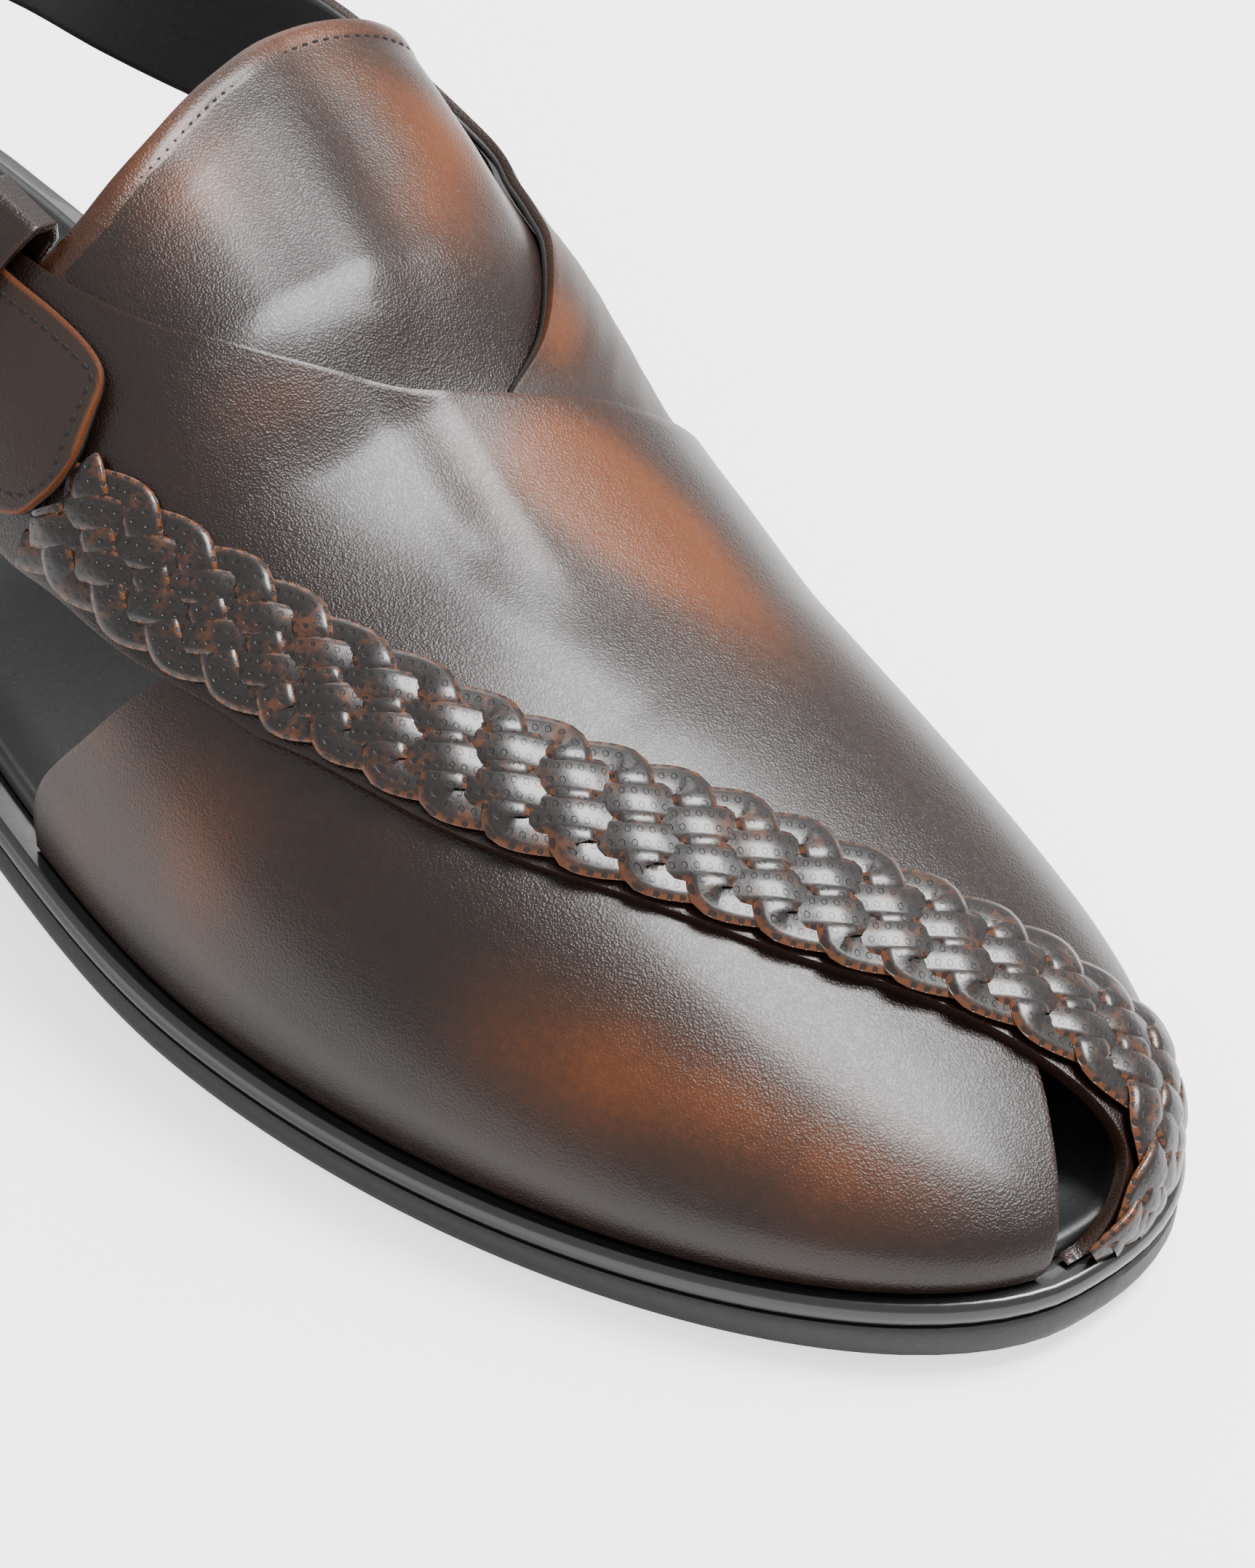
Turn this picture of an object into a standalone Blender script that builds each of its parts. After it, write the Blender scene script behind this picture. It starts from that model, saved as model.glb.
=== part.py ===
"""Right peshawari sandal: crossing leather bands, plaited strip, tongue, heel strap and a low sole."""
import math

import bmesh
import bpy
import numpy as np

# Lengths along the foot, in metres
SHOE_LENGTH = 0.292
BALL_LINE = 0.180
INSTEP_LINE = 0.140
HEEL_LENGTH = 0.062
HEEL_ROUND = 0.034
WAIST_LINE = 0.095

# Widths of the last on the outer and the inner side of the foot
BALL_OUT = 0.0526
BALL_IN = 0.0523
HEEL_HALF = 0.031
TOE_SWING = 0.0078

# Heights of the last's ridge above its lower edge
TOE_HEIGHT = 0.0211
BALL_HEIGHT = 0.0496
INSTEP_HEIGHT = 0.0735

# Sole
HEEL_RAISE = 0.0156
OUTSOLE_THICK = 0.0043
WELT_THICK = 0.0038
INSOLE_THICK = 0.0025
SOLE_MARGIN = 0.0029
TOE_SPRING = 0.0022

# Leather
WALL = 0.0020
TONGUE_WALL = 0.0019
BRAID_WALL = 0.0011
BRAID_RISE = 0.0008
BRAID_CROSSINGS = 19
KEEPER_WALL = 0.0014
GAP = 0.0003

# Rounding of the sole's edges
SOLE_ROUND = 0.0014
BEAD_ROUND = 0.0013
HEEL_TAPER = 0.0022

# Heel strap, measured at the back of the heel
STRAP_LOW = 0.0528
STRAP_WIDTH = 0.0277
STRAP_HALF = 0.030
STRAP_AHEAD = 0.005
ANKLE_LENGTH = 0.125

# Angle of the band chart's axis above the ground
AXIS_TILT = 25.0

TOE_REACH = SHOE_LENGTH - SOLE_MARGIN - BALL_LINE
SOLE_THICK = OUTSOLE_THICK + WELT_THICK + GAP
ORIGIN_Y = 0.5 * HEEL_LENGTH - SOLE_MARGIN

# Leather tucks in by this much at the sole
TUCK = -0.9 * WALL

# Share of the cross band that lies under the plait, and how far the plait runs along it
STRIP_SHARE = 0.22
PLAIT_FROM = 0.120
PLAIT_SPAN = 0.870
PLAIT_ROWS = 5

# Rows of the sole plates at the heel, the waist and the toe, and their columns
HEEL_ROWS = 5
WAIST_ROWS = 11
TOE_ROWS = 9
PLATE_ROWS = HEEL_ROWS + WAIST_ROWS + TOE_ROWS
PLATE_COLUMNS = 6

# Band edges: station (0 heel to 1 ball line, then 1 to 2 round the toe) and angle in degrees
FRONT_EDGE = [(0.560, 15.0), (0.640, 8.5), (0.735, 6.0), (0.818, 9.2), (0.893, 13.9), (0.975, 19.3),
              (1.070, 22.8), (1.177, 26.9), (1.264, 31.8), (1.327, 38.6), (1.369, 46.6), (1.410, 55.2),
              (1.446, 63.3), (1.478, 72.5), (1.515, 80.3), (1.567, 87.0), (1.639, 92.9), (1.720, 95.8),
              (1.800, 94.6), (1.900, 92.0), (1.996, 90.2)]
PLAIT_EDGE = [(0.560, 20.0), (0.640, 18.6), (0.714, 19.4), (0.794, 22.8), (0.863, 28.3), (0.935, 34.6),
              (1.037, 41.1), (1.114, 45.8), (1.169, 51.3), (1.212, 57.6), (1.257, 66.3), (1.301, 74.8),
              (1.352, 83.4), (1.399, 91.5), (1.450, 99.0), (1.508, 105.0), (1.610, 113.6), (1.690, 116.6),
              (1.770, 114.6), (1.830, 110.0), (1.880, 106.0), (1.926, 104.0)]
REAR_EDGE = [(0.560, 25.0), (0.600, 26.6), (0.644, 28.4), (0.693, 31.7), (0.738, 35.5), (0.775, 40.2),
             (0.805, 46.4), (0.830, 53.8), (0.855, 62.6), (0.872, 69.6), (0.893, 80.2), (0.908, 91.5),
             (0.920, 101.5), (0.920, 112.0), (0.905, 122.0), (0.876, 134.0), (0.844, 145.0), (0.822, 154.9)]
BAND_CORNER = (0.552, 22.5)

# Outer wing: lower edge, rear edge, hidden upper edge and front edge
WING_LOW = [(0.812, 0.0), (1.0, 0.0), (1.4, 0.0), (1.940, 0.0)]
WING_REAR = [(0.812, 0.0), (0.807, 5.1), (0.823, 11.5), (0.846, 18.2), (0.868, 24.9), (0.888, 32.2),
             (0.910, 39.9), (0.933, 48.0)]
WING_TOP = [(0.933, 48.0), (0.990, 55.0), (1.111, 61.0), (1.247, 65.5), (1.492, 67.5), (1.824, 66.5),
            (2.040, 61.0), (2.165, 52.0), (2.250, 43.0)]
WING_FRONT = [(1.940, 0.0), (1.956, 5.4), (1.973, 10.8), (2.002, 16.7), (2.041, 22.2), (2.093, 28.1),
              (2.151, 33.0), (2.196, 36.8), (2.250, 43.0)]

# Tongue: upper edge, inner side edge, hidden lower edge and outer side edge
TONGUE_TOP = [(0.652, 54.0), (0.6545, 58.0), (0.653, 62.3), (0.646, 68.7), (0.636, 76.8), (0.622, 85.8),
              (0.610, 94.3), (0.600, 102.0), (0.595, 108.9), (0.594, 115.4), (0.594, 121.5), (0.596, 128.5),
              (0.607, 133.5), (0.630, 137.0), (0.665, 139.5)]
TONGUE_IN = [(0.665, 139.5), (0.720, 141.5), (0.790, 141.5), (0.860, 137.0), (0.905, 131.0)]
TONGUE_LOW = [(0.705, 50.5), (0.790, 56.0), (0.855, 66.0), (0.900, 80.0), (0.935, 95.0), (0.945, 110.0),
              (0.932, 122.0), (0.905, 131.0)]
TONGUE_OUT = [(0.652, 54.0), (0.672, 52.0), (0.705, 50.5)]

# Inner ankle band on the last: upper station, angle, lower station, angle, lift in walls
ANKLE_ROWS = [(0.945, 95.5, 0.940, 136.0, 1.05), (0.915, 100.0, 0.905, 141.0, 1.05),
              (0.888, 105.6, 0.870, 146.0, 1.0), (0.849, 117.0, 0.835, 149.5, 0.95),
              (0.788, 127.0, 0.790, 151.5, 0.9), (0.735, 133.0, 0.740, 152.5, 0.9),
              (0.690, 136.6, 0.690, 152.8, 0.9), (0.640, 137.4, 0.640, 152.2, 0.9)]

# Free part of the heel strap: share of the half width, of the ankle length, and lean of the lower edge
STRAP_ROWS = [(-1.37, 0.680, 0.20), (-1.15, 0.520, 0.17), (-1.00, 0.370, 0.15), (-0.90, 0.230, 0.14),
              (-0.70, 0.105, 0.15), (-0.38, 0.030, 0.17), (0.00, 0.000, 0.18), (0.38, 0.030, 0.17),
              (0.72, 0.110, 0.15), (0.93, 0.245, 0.14), (1.05, 0.400, 0.16), (1.17, 0.560, 0.19)]

# Strap end on the outer side: upper station, angle, lower station, angle, lifts in walls
TAB_ROWS = [(0.590, 49.6, 0.610, 33.5, 2.15, 2.35), (0.637, 50.8, 0.665, 33.6, 2.12, 2.55),
            (0.690, 53.0, 0.722, 34.8, 2.12, 2.75), (0.722, 53.9, 0.757, 37.0, 2.12, 2.80),
            (0.742, 53.9, 0.772, 40.4, 2.12, 2.75), (0.753, 53.2, 0.7775, 43.4, 2.15, 2.65),
            (0.760, 51.9, 0.776, 46.6, 2.2, 2.5)]

# Keeper loop: first station, length in stations, and corners as angle and height in walls
KEEPER_FROM = 0.590
KEEPER_SPAN = 0.055
KEEPER_LOOP = [(33.5, 0.40), (41.0, 0.35), (51.5, 0.35), (55.6, 0.90), (56.4, 2.20), (55.0, 3.60), (51.5, 4.05),
               (42.0, 4.05), (33.0, 4.15), (29.4, 3.60), (28.6, 2.20), (29.6, 0.95), (33.5, 0.40)]


def blend(t):
    t = np.clip(t, 0.0, 1.0)
    return t * t * (3.0 - 2.0 * t)


def smooth_table(xs, ys, x):
    """Monotone cubic through the points of a short table, straight beyond its ends."""
    xs, ys, x = np.asarray(xs, float), np.asarray(ys, float), np.asarray(x, float)
    h = np.diff(xs)
    d = np.diff(ys) / h
    m = np.empty_like(ys)
    m[1:-1] = np.where(d[:-1] * d[1:] > 0, 2 * d[:-1] * d[1:] / (d[:-1] + d[1:] + 1e-12), 0.0)
    m[0], m[-1] = d[0], d[-1]
    i = np.clip(np.searchsorted(xs, x) - 1, 0, len(h) - 1)
    t = (x - xs[i]) / h[i]
    a = ys[i] * (1 + 2 * t) * (1 - t) ** 2 + m[i] * h[i] * t * (1 - t) ** 2
    b = ys[i + 1] * t * t * (3 - 2 * t) + m[i + 1] * h[i] * t * t * (t - 1)
    before = ys[0] + m[0] * (x - xs[0])
    after = ys[-1] + m[-1] * (x - xs[-1])
    return np.where(x < xs[0], before, np.where(x > xs[-1], after, a + b))


def rounded_curve(points, t):
    """Point at share t of the length of a smooth curve through the points."""
    p = np.asarray(points, float)
    q = np.concatenate([[2 * p[0] - p[1]], p, [2 * p[-1] - p[-2]]])
    fine = []
    for i in range(len(p) - 1):
        u = np.linspace(0, 1, 12, endpoint=False)[:, None]
        a, b, c, d = q[i], q[i + 1], q[i + 2], q[i + 3]
        fine.append(0.5 * (2 * b + (c - a) * u + (2 * a - 5 * b + 4 * c - d) * u ** 2
                           + (3 * b - a - 3 * c + d) * u ** 3))
    fine = np.concatenate(fine + [p[-1:]])
    scale = np.array([90.0, 1.0]) if p.shape[1] == 2 else np.ones(p.shape[1])
    run = np.concatenate([[0], np.cumsum(np.linalg.norm(np.diff(fine * scale, axis=0), axis=1))])
    run /= run[-1]
    return np.stack([np.interp(t, run, fine[:, k]) for k in range(p.shape[1])], -1)


def seat_height(y):
    """Top of the welt above the ground."""
    heel = HEEL_RAISE * blend((INSTEP_LINE - y) / WAIST_LINE)
    toe = (TOE_SPRING * 1.6) * np.clip((y - 1.1 * BALL_LINE) / (SHOE_LENGTH - 1.1 * BALL_LINE), 0, 1.1) ** 2
    return SOLE_THICK + heel + toe


def ground_height(y):
    """Underside of the outsole: flat under the ball, raised at the waist and a little at the toe."""
    heel = HEEL_RAISE * blend((0.89 * INSTEP_LINE - y) / (0.79 * WAIST_LINE))
    toe = TOE_SPRING * np.clip((y - 1.14 * BALL_LINE) / (SHOE_LENGTH - 1.14 * BALL_LINE), 0, 1.1) ** 2
    return heel + toe


def ridge_height(y):
    middle = 0.5 * (INSTEP_LINE + BALL_LINE)
    return smooth_table(
        [0.33 * BALL_LINE, INSTEP_LINE, middle, BALL_LINE, BALL_LINE + TOE_REACH],
        [1.27 * INSTEP_HEIGHT, INSTEP_HEIGHT, 0.38 * INSTEP_HEIGHT + 0.62 * BALL_HEIGHT, BALL_HEIGHT, TOE_HEIGHT],
        y)


def centre_line(y):
    return -TOE_SWING * np.clip((y - BALL_LINE) / TOE_REACH, 0, 1.1) ** 1.6


def ball_half(outer):
    return np.where(outer, BALL_OUT, BALL_IN)


def foot_half(outer, y):
    """Half width of the last's lower edge behind the ball."""
    waist = np.where(outer, 0.787, 0.607)
    return ball_half(outer) * (1 - (1 - waist) * blend((BALL_LINE - y) / (BALL_LINE - WAIST_LINE)))


def body_half(outer, y):
    """Half width of the last at its fullest height behind the ball."""
    share = np.clip((BALL_LINE - y) / (BALL_LINE - WAIST_LINE), 0, 1.5) ** 1.3
    return ball_half(outer) * (1 + np.where(outer, -0.14, 0.14) * share)


def body_points(y, angle):
    """Last surface behind the ball, angle in degrees from the outer edge over the ridge."""
    a = np.radians(angle)
    c, s = np.abs(np.cos(a)), np.abs(np.sin(a))
    outer = np.cos(a) > 0
    n = 2.6
    k = (c ** n + s ** n) ** (-1 / n)
    low, full = foot_half(outer, y), body_half(outer, y)
    half = low + (full - low) * blend(s * k / 0.55)
    x = centre_line(y) + np.where(outer, 1, -1) * half * c * k
    z = seat_height(y) + ridge_height(y) * s * k
    return np.stack([x, y + 0 * x, z], -1)


def toe_points(d):
    """Last surface ahead of the ball in the direction d from the middle of the ball line."""
    dx, dy, dz = d[..., 0], np.maximum(d[..., 1], 0), np.maximum(d[..., 2], 0)
    outer = dx > 0
    rise = blend(np.arctan2(dz, dy) / (math.pi / 2))
    n = np.where(outer, 1.9, 2.6) * (1 - rise) + 2.6 * rise
    q = 2.13
    r = (dy ** q + dz ** q) ** (1 / q)
    k = (np.abs(dx) ** n + r ** n) ** (-1 / n)
    y = BALL_LINE + TOE_REACH * dy * k
    x = centre_line(y) + ball_half(outer) * dx * k
    return np.stack([x, y, seat_height(y) + ridge_height(y) * dz * k], -1)


def band_points(station, angle):
    """Chart for pieces that cross the ridge: its axis points outwards and a little up."""
    tilt = math.radians(AXIS_TILT)
    a = np.radians(angle)
    turn = np.radians((2 - np.maximum(station, 1)) * 90)
    d = np.stack([np.cos(a) * math.cos(tilt) - np.sin(a) * np.sin(turn) * math.sin(tilt),
                  np.sin(a) * np.cos(turn),
                  np.cos(a) * math.sin(tilt) + np.sin(a) * np.sin(turn) * math.cos(tilt)], -1)
    body = body_points(np.minimum(station, 1) * BALL_LINE, np.minimum(angle + AXIS_TILT, 180))
    return np.where((station > 1)[..., None], toe_points(d), body)


def wing_points(station, angle):
    """Chart for the outer wing: its axis is upright."""
    a = np.radians(angle)
    turn = np.radians((np.maximum(station, 1) - 1) * 90)
    d = np.stack([np.cos(a) * np.cos(turn), np.cos(a) * np.sin(turn), np.sin(a)], -1)
    body = body_points(np.minimum(station, 1) * BALL_LINE, angle)
    return np.where((station > 1)[..., None], toe_points(d), body)


def ankle_points(station, angle):
    return body_points(station * BALL_LINE, angle)


def height_share(p):
    return (p[..., 2] - seat_height(p[..., 1])) / ridge_height(p[..., 1])


def patch(low, high, left, right, s, t):
    """Coons patch between four smooth edges in a chart."""
    a, b = rounded_curve(low, s), rounded_curve(high, s)
    c, d = rounded_curve(left, t), rounded_curve(right, t)
    s, t = s[..., None], t[..., None]
    p00, p10 = np.asarray(low[0]), np.asarray(low[-1])
    p01, p11 = np.asarray(high[0]), np.asarray(high[-1])
    corners = (1 - s) * (1 - t) * p00 + s * (1 - t) * p10 + (1 - s) * t * p01 + s * t * p11
    return (1 - t) * a + t * b + (1 - s) * c + s * d - corners


def feather_edge():
    """Lower edge of the inner band from the toe tip to its rear corner, in the band chart."""
    rows = []
    for angle in (104.0, 110.0, 120.0, 130.0, 140.0, 147.0, 151.5, 154.0):
        turn = math.degrees(math.asin(min(1, -math.tan(math.radians(AXIS_TILT)) / math.tan(math.radians(angle)))))
        rows.append((2 - turn / 90, angle))
    return rows + [(1.0, 155.0), (0.93, 155.0), (0.88, 155.0), (0.822, 154.9)]


def band_chart(s, t):
    """Upper cross band; t from 0 at its front edge, through the plait's edge, to 1 at the rear."""
    strip = np.clip(t / STRIP_SHARE, 0, 1)
    front, plait = rounded_curve(FRONT_EDGE, s), rounded_curve(PLAIT_EDGE, s)
    lower = front + (plait - front) * strip[..., None]
    across = np.clip((t - STRIP_SHARE) / (1 - STRIP_SHARE), 0, 1)
    left = [PLAIT_EDGE[0], BAND_CORNER, REAR_EDGE[0]]
    upper = patch(PLAIT_EDGE, REAR_EDGE, left, feather_edge(), s, across)
    return np.where((t < STRIP_SHARE)[..., None], lower, upper)


def band_lift(chart, p):
    """Height of the band's inner face over the last, more where it lies on the ankle band."""
    station, angle = chart[..., 0], chart[..., 1]
    over_ankle = blend((angle - 58) / 12) * blend((1.09 - station) / 0.13)
    lift = WALL * (0.76 + 0.84 * over_ankle - 0.30 * blend((station - 1.58) / 0.25))
    return TUCK + (lift - TUCK) * blend(height_share(p) / 0.42)


def clear_of_welt(q, p, gaps):
    """Points near the sole raised a little, so that the leather stands clear of the welt."""
    q[..., 2] += gaps * GAP * (1 - blend(height_share(p) / 0.1))
    return q


def raised(surface, s, t, lift):
    """Surface points moved outwards along the surface normal."""
    e = 1e-3
    p = surface(s, t)
    ds = surface(np.minimum(s + e, 1), t) - surface(np.maximum(s - e, 0), t)
    dt = surface(s, np.minimum(t + e, 1)) - surface(s, np.maximum(t - e, 0))
    n = np.cross(ds, dt)
    n /= np.linalg.norm(n, axis=-1, keepdims=True) + 1e-12
    inside = np.stack([0 * p[..., 0], np.clip(p[..., 1], HEEL_LENGTH, BALL_LINE), 0 * p[..., 0] + SOLE_THICK], -1)
    n *= np.sign(np.sum(n * (p - inside), -1, keepdims=True))
    return p + n * np.asarray(lift)[..., None]


def collection(name):
    made = bpy.data.collections.new(name)
    bpy.context.scene.collection.children.link(made)
    return made


def material(name, colour, roughness, metallic=0.0):
    made = bpy.data.materials.new(name)
    made.use_nodes = True
    shader = made.node_tree.nodes["Principled BSDF"]
    shader.inputs["Base Color"].default_value = (*colour, 1)
    shader.inputs["Roughness"].default_value = roughness
    shader.inputs["Metallic"].default_value = metallic
    return made


def add_object(name, bm, where, mat):
    mesh = bpy.data.meshes.new(name)
    bm.to_mesh(mesh)
    bm.free()
    made = bpy.data.objects.new(name, mesh)
    where.objects.link(made)
    if mat:
        mesh.materials.append(mat)
    mesh.shade_smooth()
    mesh.set_sharp_from_angle(angle=math.radians(40))
    return made


def grid_surface(surface, columns, rows, even_s=None, outward=True):
    """A flat grid bent onto a surface; s runs along its columns and t along its rows."""
    bm = bmesh.new()
    bmesh.ops.create_grid(bm, x_segments=columns, y_segments=rows, size=0.5)
    keep_s = bm.verts.layers.float.new("s")
    keep_t = bm.verts.layers.float.new("t")
    verts = list(bm.verts)
    s = np.round(np.array([v.co.x + 0.5 for v in verts]), 6)
    t = np.round(np.array([v.co.y + 0.5 for v in verts]), 6)
    if even_s is not None:
        s, t = even_s(s, t)
    for v, q, a, b in zip(verts, surface(s, t), s, t):
        v.co = (q[0], q[1] - ORIGIN_Y, q[2])
        v[keep_s] = float(a)
        v[keep_t] = float(b)
    bm.normal_update()
    middle = np.array([0.0, 0.45 * SHOE_LENGTH - ORIGIN_Y, 0.5 * BALL_HEIGHT])
    facing = 0.0
    for face in bm.faces:
        c = np.array(face.calc_center_median()) - middle
        facing += float(np.dot(c, np.array(face.normal))) * face.calc_area()
    if (facing > 0) != outward:
        bmesh.ops.reverse_faces(bm, faces=list(bm.faces))
    return bm


def solidify(obj, wall):
    """Wall grown outwards from the surface."""
    mod = obj.modifiers.new("wall", "SOLIDIFY")
    mod.thickness = wall
    mod.offset = 1.0
    mod.use_even_offset = True
    return mod


def fixed_copy(obj, name, where, mat):
    """The evaluated mesh as a plain object, so that it can be joined."""
    graph = bpy.context.evaluated_depsgraph_get()
    mesh = bpy.data.meshes.new_from_object(obj.evaluated_get(graph))
    mesh.name = name
    made = bpy.data.objects.new(name, mesh)
    where.objects.link(made)
    mesh.materials.clear()
    mesh.materials.append(mat)
    return made


def join_solid(base, other):
    mod = base.modifiers.new("join " + other.name, "BOOLEAN")
    mod.operation = "UNION"
    mod.solver = "EXACT"
    mod.object = other


def wing_surface(s, t):
    chart = patch(WING_LOW, WING_TOP, WING_REAR, WING_FRONT, s, t)
    return wing_points(chart[..., 0], chart[..., 1])


def lifted_wing(s, t):
    p = wing_surface(s, t)
    lift = TUCK * (1 - blend(height_share(p) / 0.3))
    return clear_of_welt(raised(wing_surface, s, t, lift), p, 2)


def band_surface(s, t):
    chart = band_chart(s, t)
    return band_points(chart[..., 0], chart[..., 1])


def lifted_band(s, t):
    chart, p = band_chart(s, t), band_surface(s, t)
    return clear_of_welt(raised(band_surface, s, t, band_lift(chart, p)), p, 2)


def band_columns(s, t):
    """Rows of the band's grid: a quarter of them lie under the plait."""
    quarter = 0.25
    return s, np.where(t < quarter, t / quarter * STRIP_SHARE,
                       STRIP_SHARE + (t - quarter) / (1 - quarter) * (1 - STRIP_SHARE))


def ankle_spot(station, angle, lift):
    """Points at a height over the last behind the ball."""
    middle = 0 * station + 0.5
    return raised(lambda u, v: ankle_points(station + 0.02 * (u - 0.5), angle + 2 * (v - 0.5)),
                  middle, middle, lift)


def strap_rows():
    """Rows of seven points across the ankle band, the free strap and its end."""
    across = np.linspace(0, 1, 7)
    rows = []
    for s0, a0, s1, a1, lift in ANKLE_ROWS:
        rows.append(ankle_spot(s0 + (s1 - s0) * across, a0 + (a1 - a0) * across, 0 * across + lift * WALL))
    for x, y, lean in STRAP_ROWS:
        top = np.array([x * STRAP_HALF, ANKLE_LENGTH * y + STRAP_AHEAD, STRAP_LOW + STRAP_WIDTH])
        away = np.array([math.copysign(1, x) if x else 0.0, 0.0]) * min(1, abs(x) / 0.7)
        away[1] = -(1 - abs(away[0]) ** 2) ** 0.5
        low = top + np.array([away[0] * lean * STRAP_WIDTH, away[1] * lean * STRAP_WIDTH, -STRAP_WIDTH])
        crown = (across * (1 - across) * 4)[:, None] * np.array([away[0], away[1], 0]) * 0.03 * STRAP_WIDTH
        rows.append(top + (low - top) * across[:, None] + crown)
    for s0, a0, s1, a1, up, down in TAB_ROWS:
        lift = (up + (down - up) * across) * WALL
        rows.append(ankle_spot(s0 + (s1 - s0) * across, a0 + (a1 - a0) * across, lift))
    return np.array(rows)


def strap_surface(s, t):
    rows = strap_rows()
    width = rows.shape[1]
    flat = rows.reshape(len(rows), -1)
    along = rounded_curve(flat, s).reshape(len(s), width, 3)
    place = np.clip(t * (width - 1), 0, width - 1 - 1e-9)
    i = place.astype(int)
    f = (place - i)[:, None]
    pick = np.arange(len(s))
    return along[pick, i] * (1 - f) + along[pick, i + 1] * f


def tongue_chart(s, t):
    return patch(TONGUE_LOW, TONGUE_TOP, TONGUE_OUT[::-1], TONGUE_IN[::-1], s, t)


def tongue_surface(s, t):
    chart = tongue_chart(s, t)
    return ankle_points(chart[..., 0], chart[..., 1])


def tongue_lift(chart):
    """The tongue bulges a little above the ankle band's edge, on the inner side."""
    station, angle = chart[..., 0], chart[..., 1]
    bulge = blend((angle - 104) / 18) * (1 - blend((angle - 124) / 8)) * blend((0.80 - station) / 0.12)
    return WALL * (1.1 * bulge - 0.35)


def lifted_tongue(s, t):
    return raised(tongue_surface, s, t, tongue_lift(tongue_chart(s, t)))


def plait_chart(s, t):
    """The plait covers the band's front strip, from under the strap's end to the toe."""
    along = PLAIT_FROM + PLAIT_SPAN * s
    return along, STRIP_SHARE * (0.06 + 0.98 * t)


def plait_surface(s, t):
    return band_surface(*plait_chart(s, t))


def plait_rise(s, t):
    """Raised strips: crossings follow each other along the strip, staggered from row to row."""
    stagger = 0.5 * np.floor(np.clip(t, 0, 0.999) * PLAIT_ROWS)
    wave = np.cos(2 * math.pi * (BRAID_CROSSINGS * s + stagger))
    round_off = 1 - np.abs(2 * t - 1) ** 4
    return BRAID_RISE * (0.5 + 0.5 * wave) * round_off


def lifted_plait(s, t, thick=0.0):
    """The plait stands a gap over the band, and two where both curve round the toe."""
    along, across = plait_chart(s, t)
    chart, p = band_chart(along, across), plait_surface(s, t)
    lift = band_lift(chart, p) + WALL + GAP * (1 + blend((s - 0.88) / 0.08)) + thick
    return clear_of_welt(raised(plait_surface, s, t, lift), p, 3)


def keeper_surface(s, t):
    """Closed loop round the strap and the band's end; s runs round it and t along the strap."""
    corner = np.array(KEEPER_LOOP)
    loop = np.stack([np.interp(s, np.linspace(0, 1, len(corner)), corner[:, k]) for k in (0, 1)], -1)
    angle, lift = loop[..., 0] + 2.0 * (t - 0.5), loop[..., 1] * WALL - 0.5 * KEEPER_WALL
    return ankle_spot(KEEPER_FROM + KEEPER_SPAN * t, angle, lift)


def plate_plan(row, column, margin):
    """Plan of a sole plate: rows run from heel to toe and columns from the inner to the outer side."""
    side = 2 * column - 1
    outer = side > 0
    if row <= HEEL_ROWS:
        turn = math.radians(38 + 52 * row / HEEL_ROWS)
        if row == 0:
            turn = turn * abs(side)
            side = math.copysign(1, side) if side else 0.0
        y = -margin + (HEEL_ROUND + margin) * (1 - math.cos(turn))
        half = (HEEL_HALF + margin) * math.sin(turn)
        return side * half, y
    if row <= HEEL_ROWS + WAIST_ROWS:
        y = HEEL_ROUND + (BALL_LINE - HEEL_ROUND) * (row - HEEL_ROWS) / WAIST_ROWS
        half = float(foot_half(outer, max(y, WAIST_LINE)))
        if y < WAIST_LINE:
            half = HEEL_HALF + (half - HEEL_HALF) * float(blend((y - HEEL_ROUND) / (WAIST_LINE - HEEL_ROUND)))
        return side * (half + margin), y
    turn = math.radians(68 * (row - HEEL_ROWS - WAIST_ROWS) / TOE_ROWS)
    if row == PLATE_ROWS:
        turn = math.pi / 2 - (math.pi / 2 - turn) * abs(side)
        side = math.copysign(1, side) if side else 0.0
    n = 1.9 if outer else 2.6
    k = (math.cos(turn) ** n + math.sin(turn) ** n) ** (-1 / n)
    y = BALL_LINE + (TOE_REACH + margin) * math.sin(turn) * k
    half = (float(ball_half(outer)) + margin) * math.cos(turn) * k
    return float(centre_line(y)) + side * half, y


def sole_plate(levels, last_row=PLATE_ROWS):
    """A plate lofted through levels of (margin, height function), from its underside up."""
    bm = bmesh.new()
    bmesh.ops.create_grid(bm, x_segments=PLATE_COLUMNS, y_segments=last_row, size=0.5)
    rows = bm.verts.layers.int.new("row")
    columns = bm.verts.layers.int.new("column")
    for v in bm.verts:
        v[rows] = round((v.co.y + 0.5) * last_row)
        v[columns] = round((v.co.x + 0.5) * PLATE_COLUMNS)

    def shape(verts, level):
        margin, height = levels[level]
        for v in verts:
            x, y = plate_plan(v[rows], v[columns] / PLATE_COLUMNS, margin)
            v.co = (x, y - ORIGIN_Y, float(height(np.asarray(y))))

    shape(bm.verts, 0)
    top = list(bm.faces)
    for level in range(1, len(levels)):
        under = top
        made = bmesh.ops.extrude_face_region(bm, geom=under)
        new_verts = [g for g in made["geom"] if isinstance(g, bmesh.types.BMVert)]
        top = [g for g in made["geom"] if isinstance(g, bmesh.types.BMFace)]
        shape(new_verts, level)
        if level > 1:
            bmesh.ops.delete(bm, geom=[f for f in under if f.is_valid], context="FACES")
    bmesh.ops.recalc_face_normals(bm, faces=list(bm.faces))
    if bm.calc_volume(signed=True) < 0:
        bmesh.ops.reverse_faces(bm, faces=list(bm.faces))
    return bm


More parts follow.
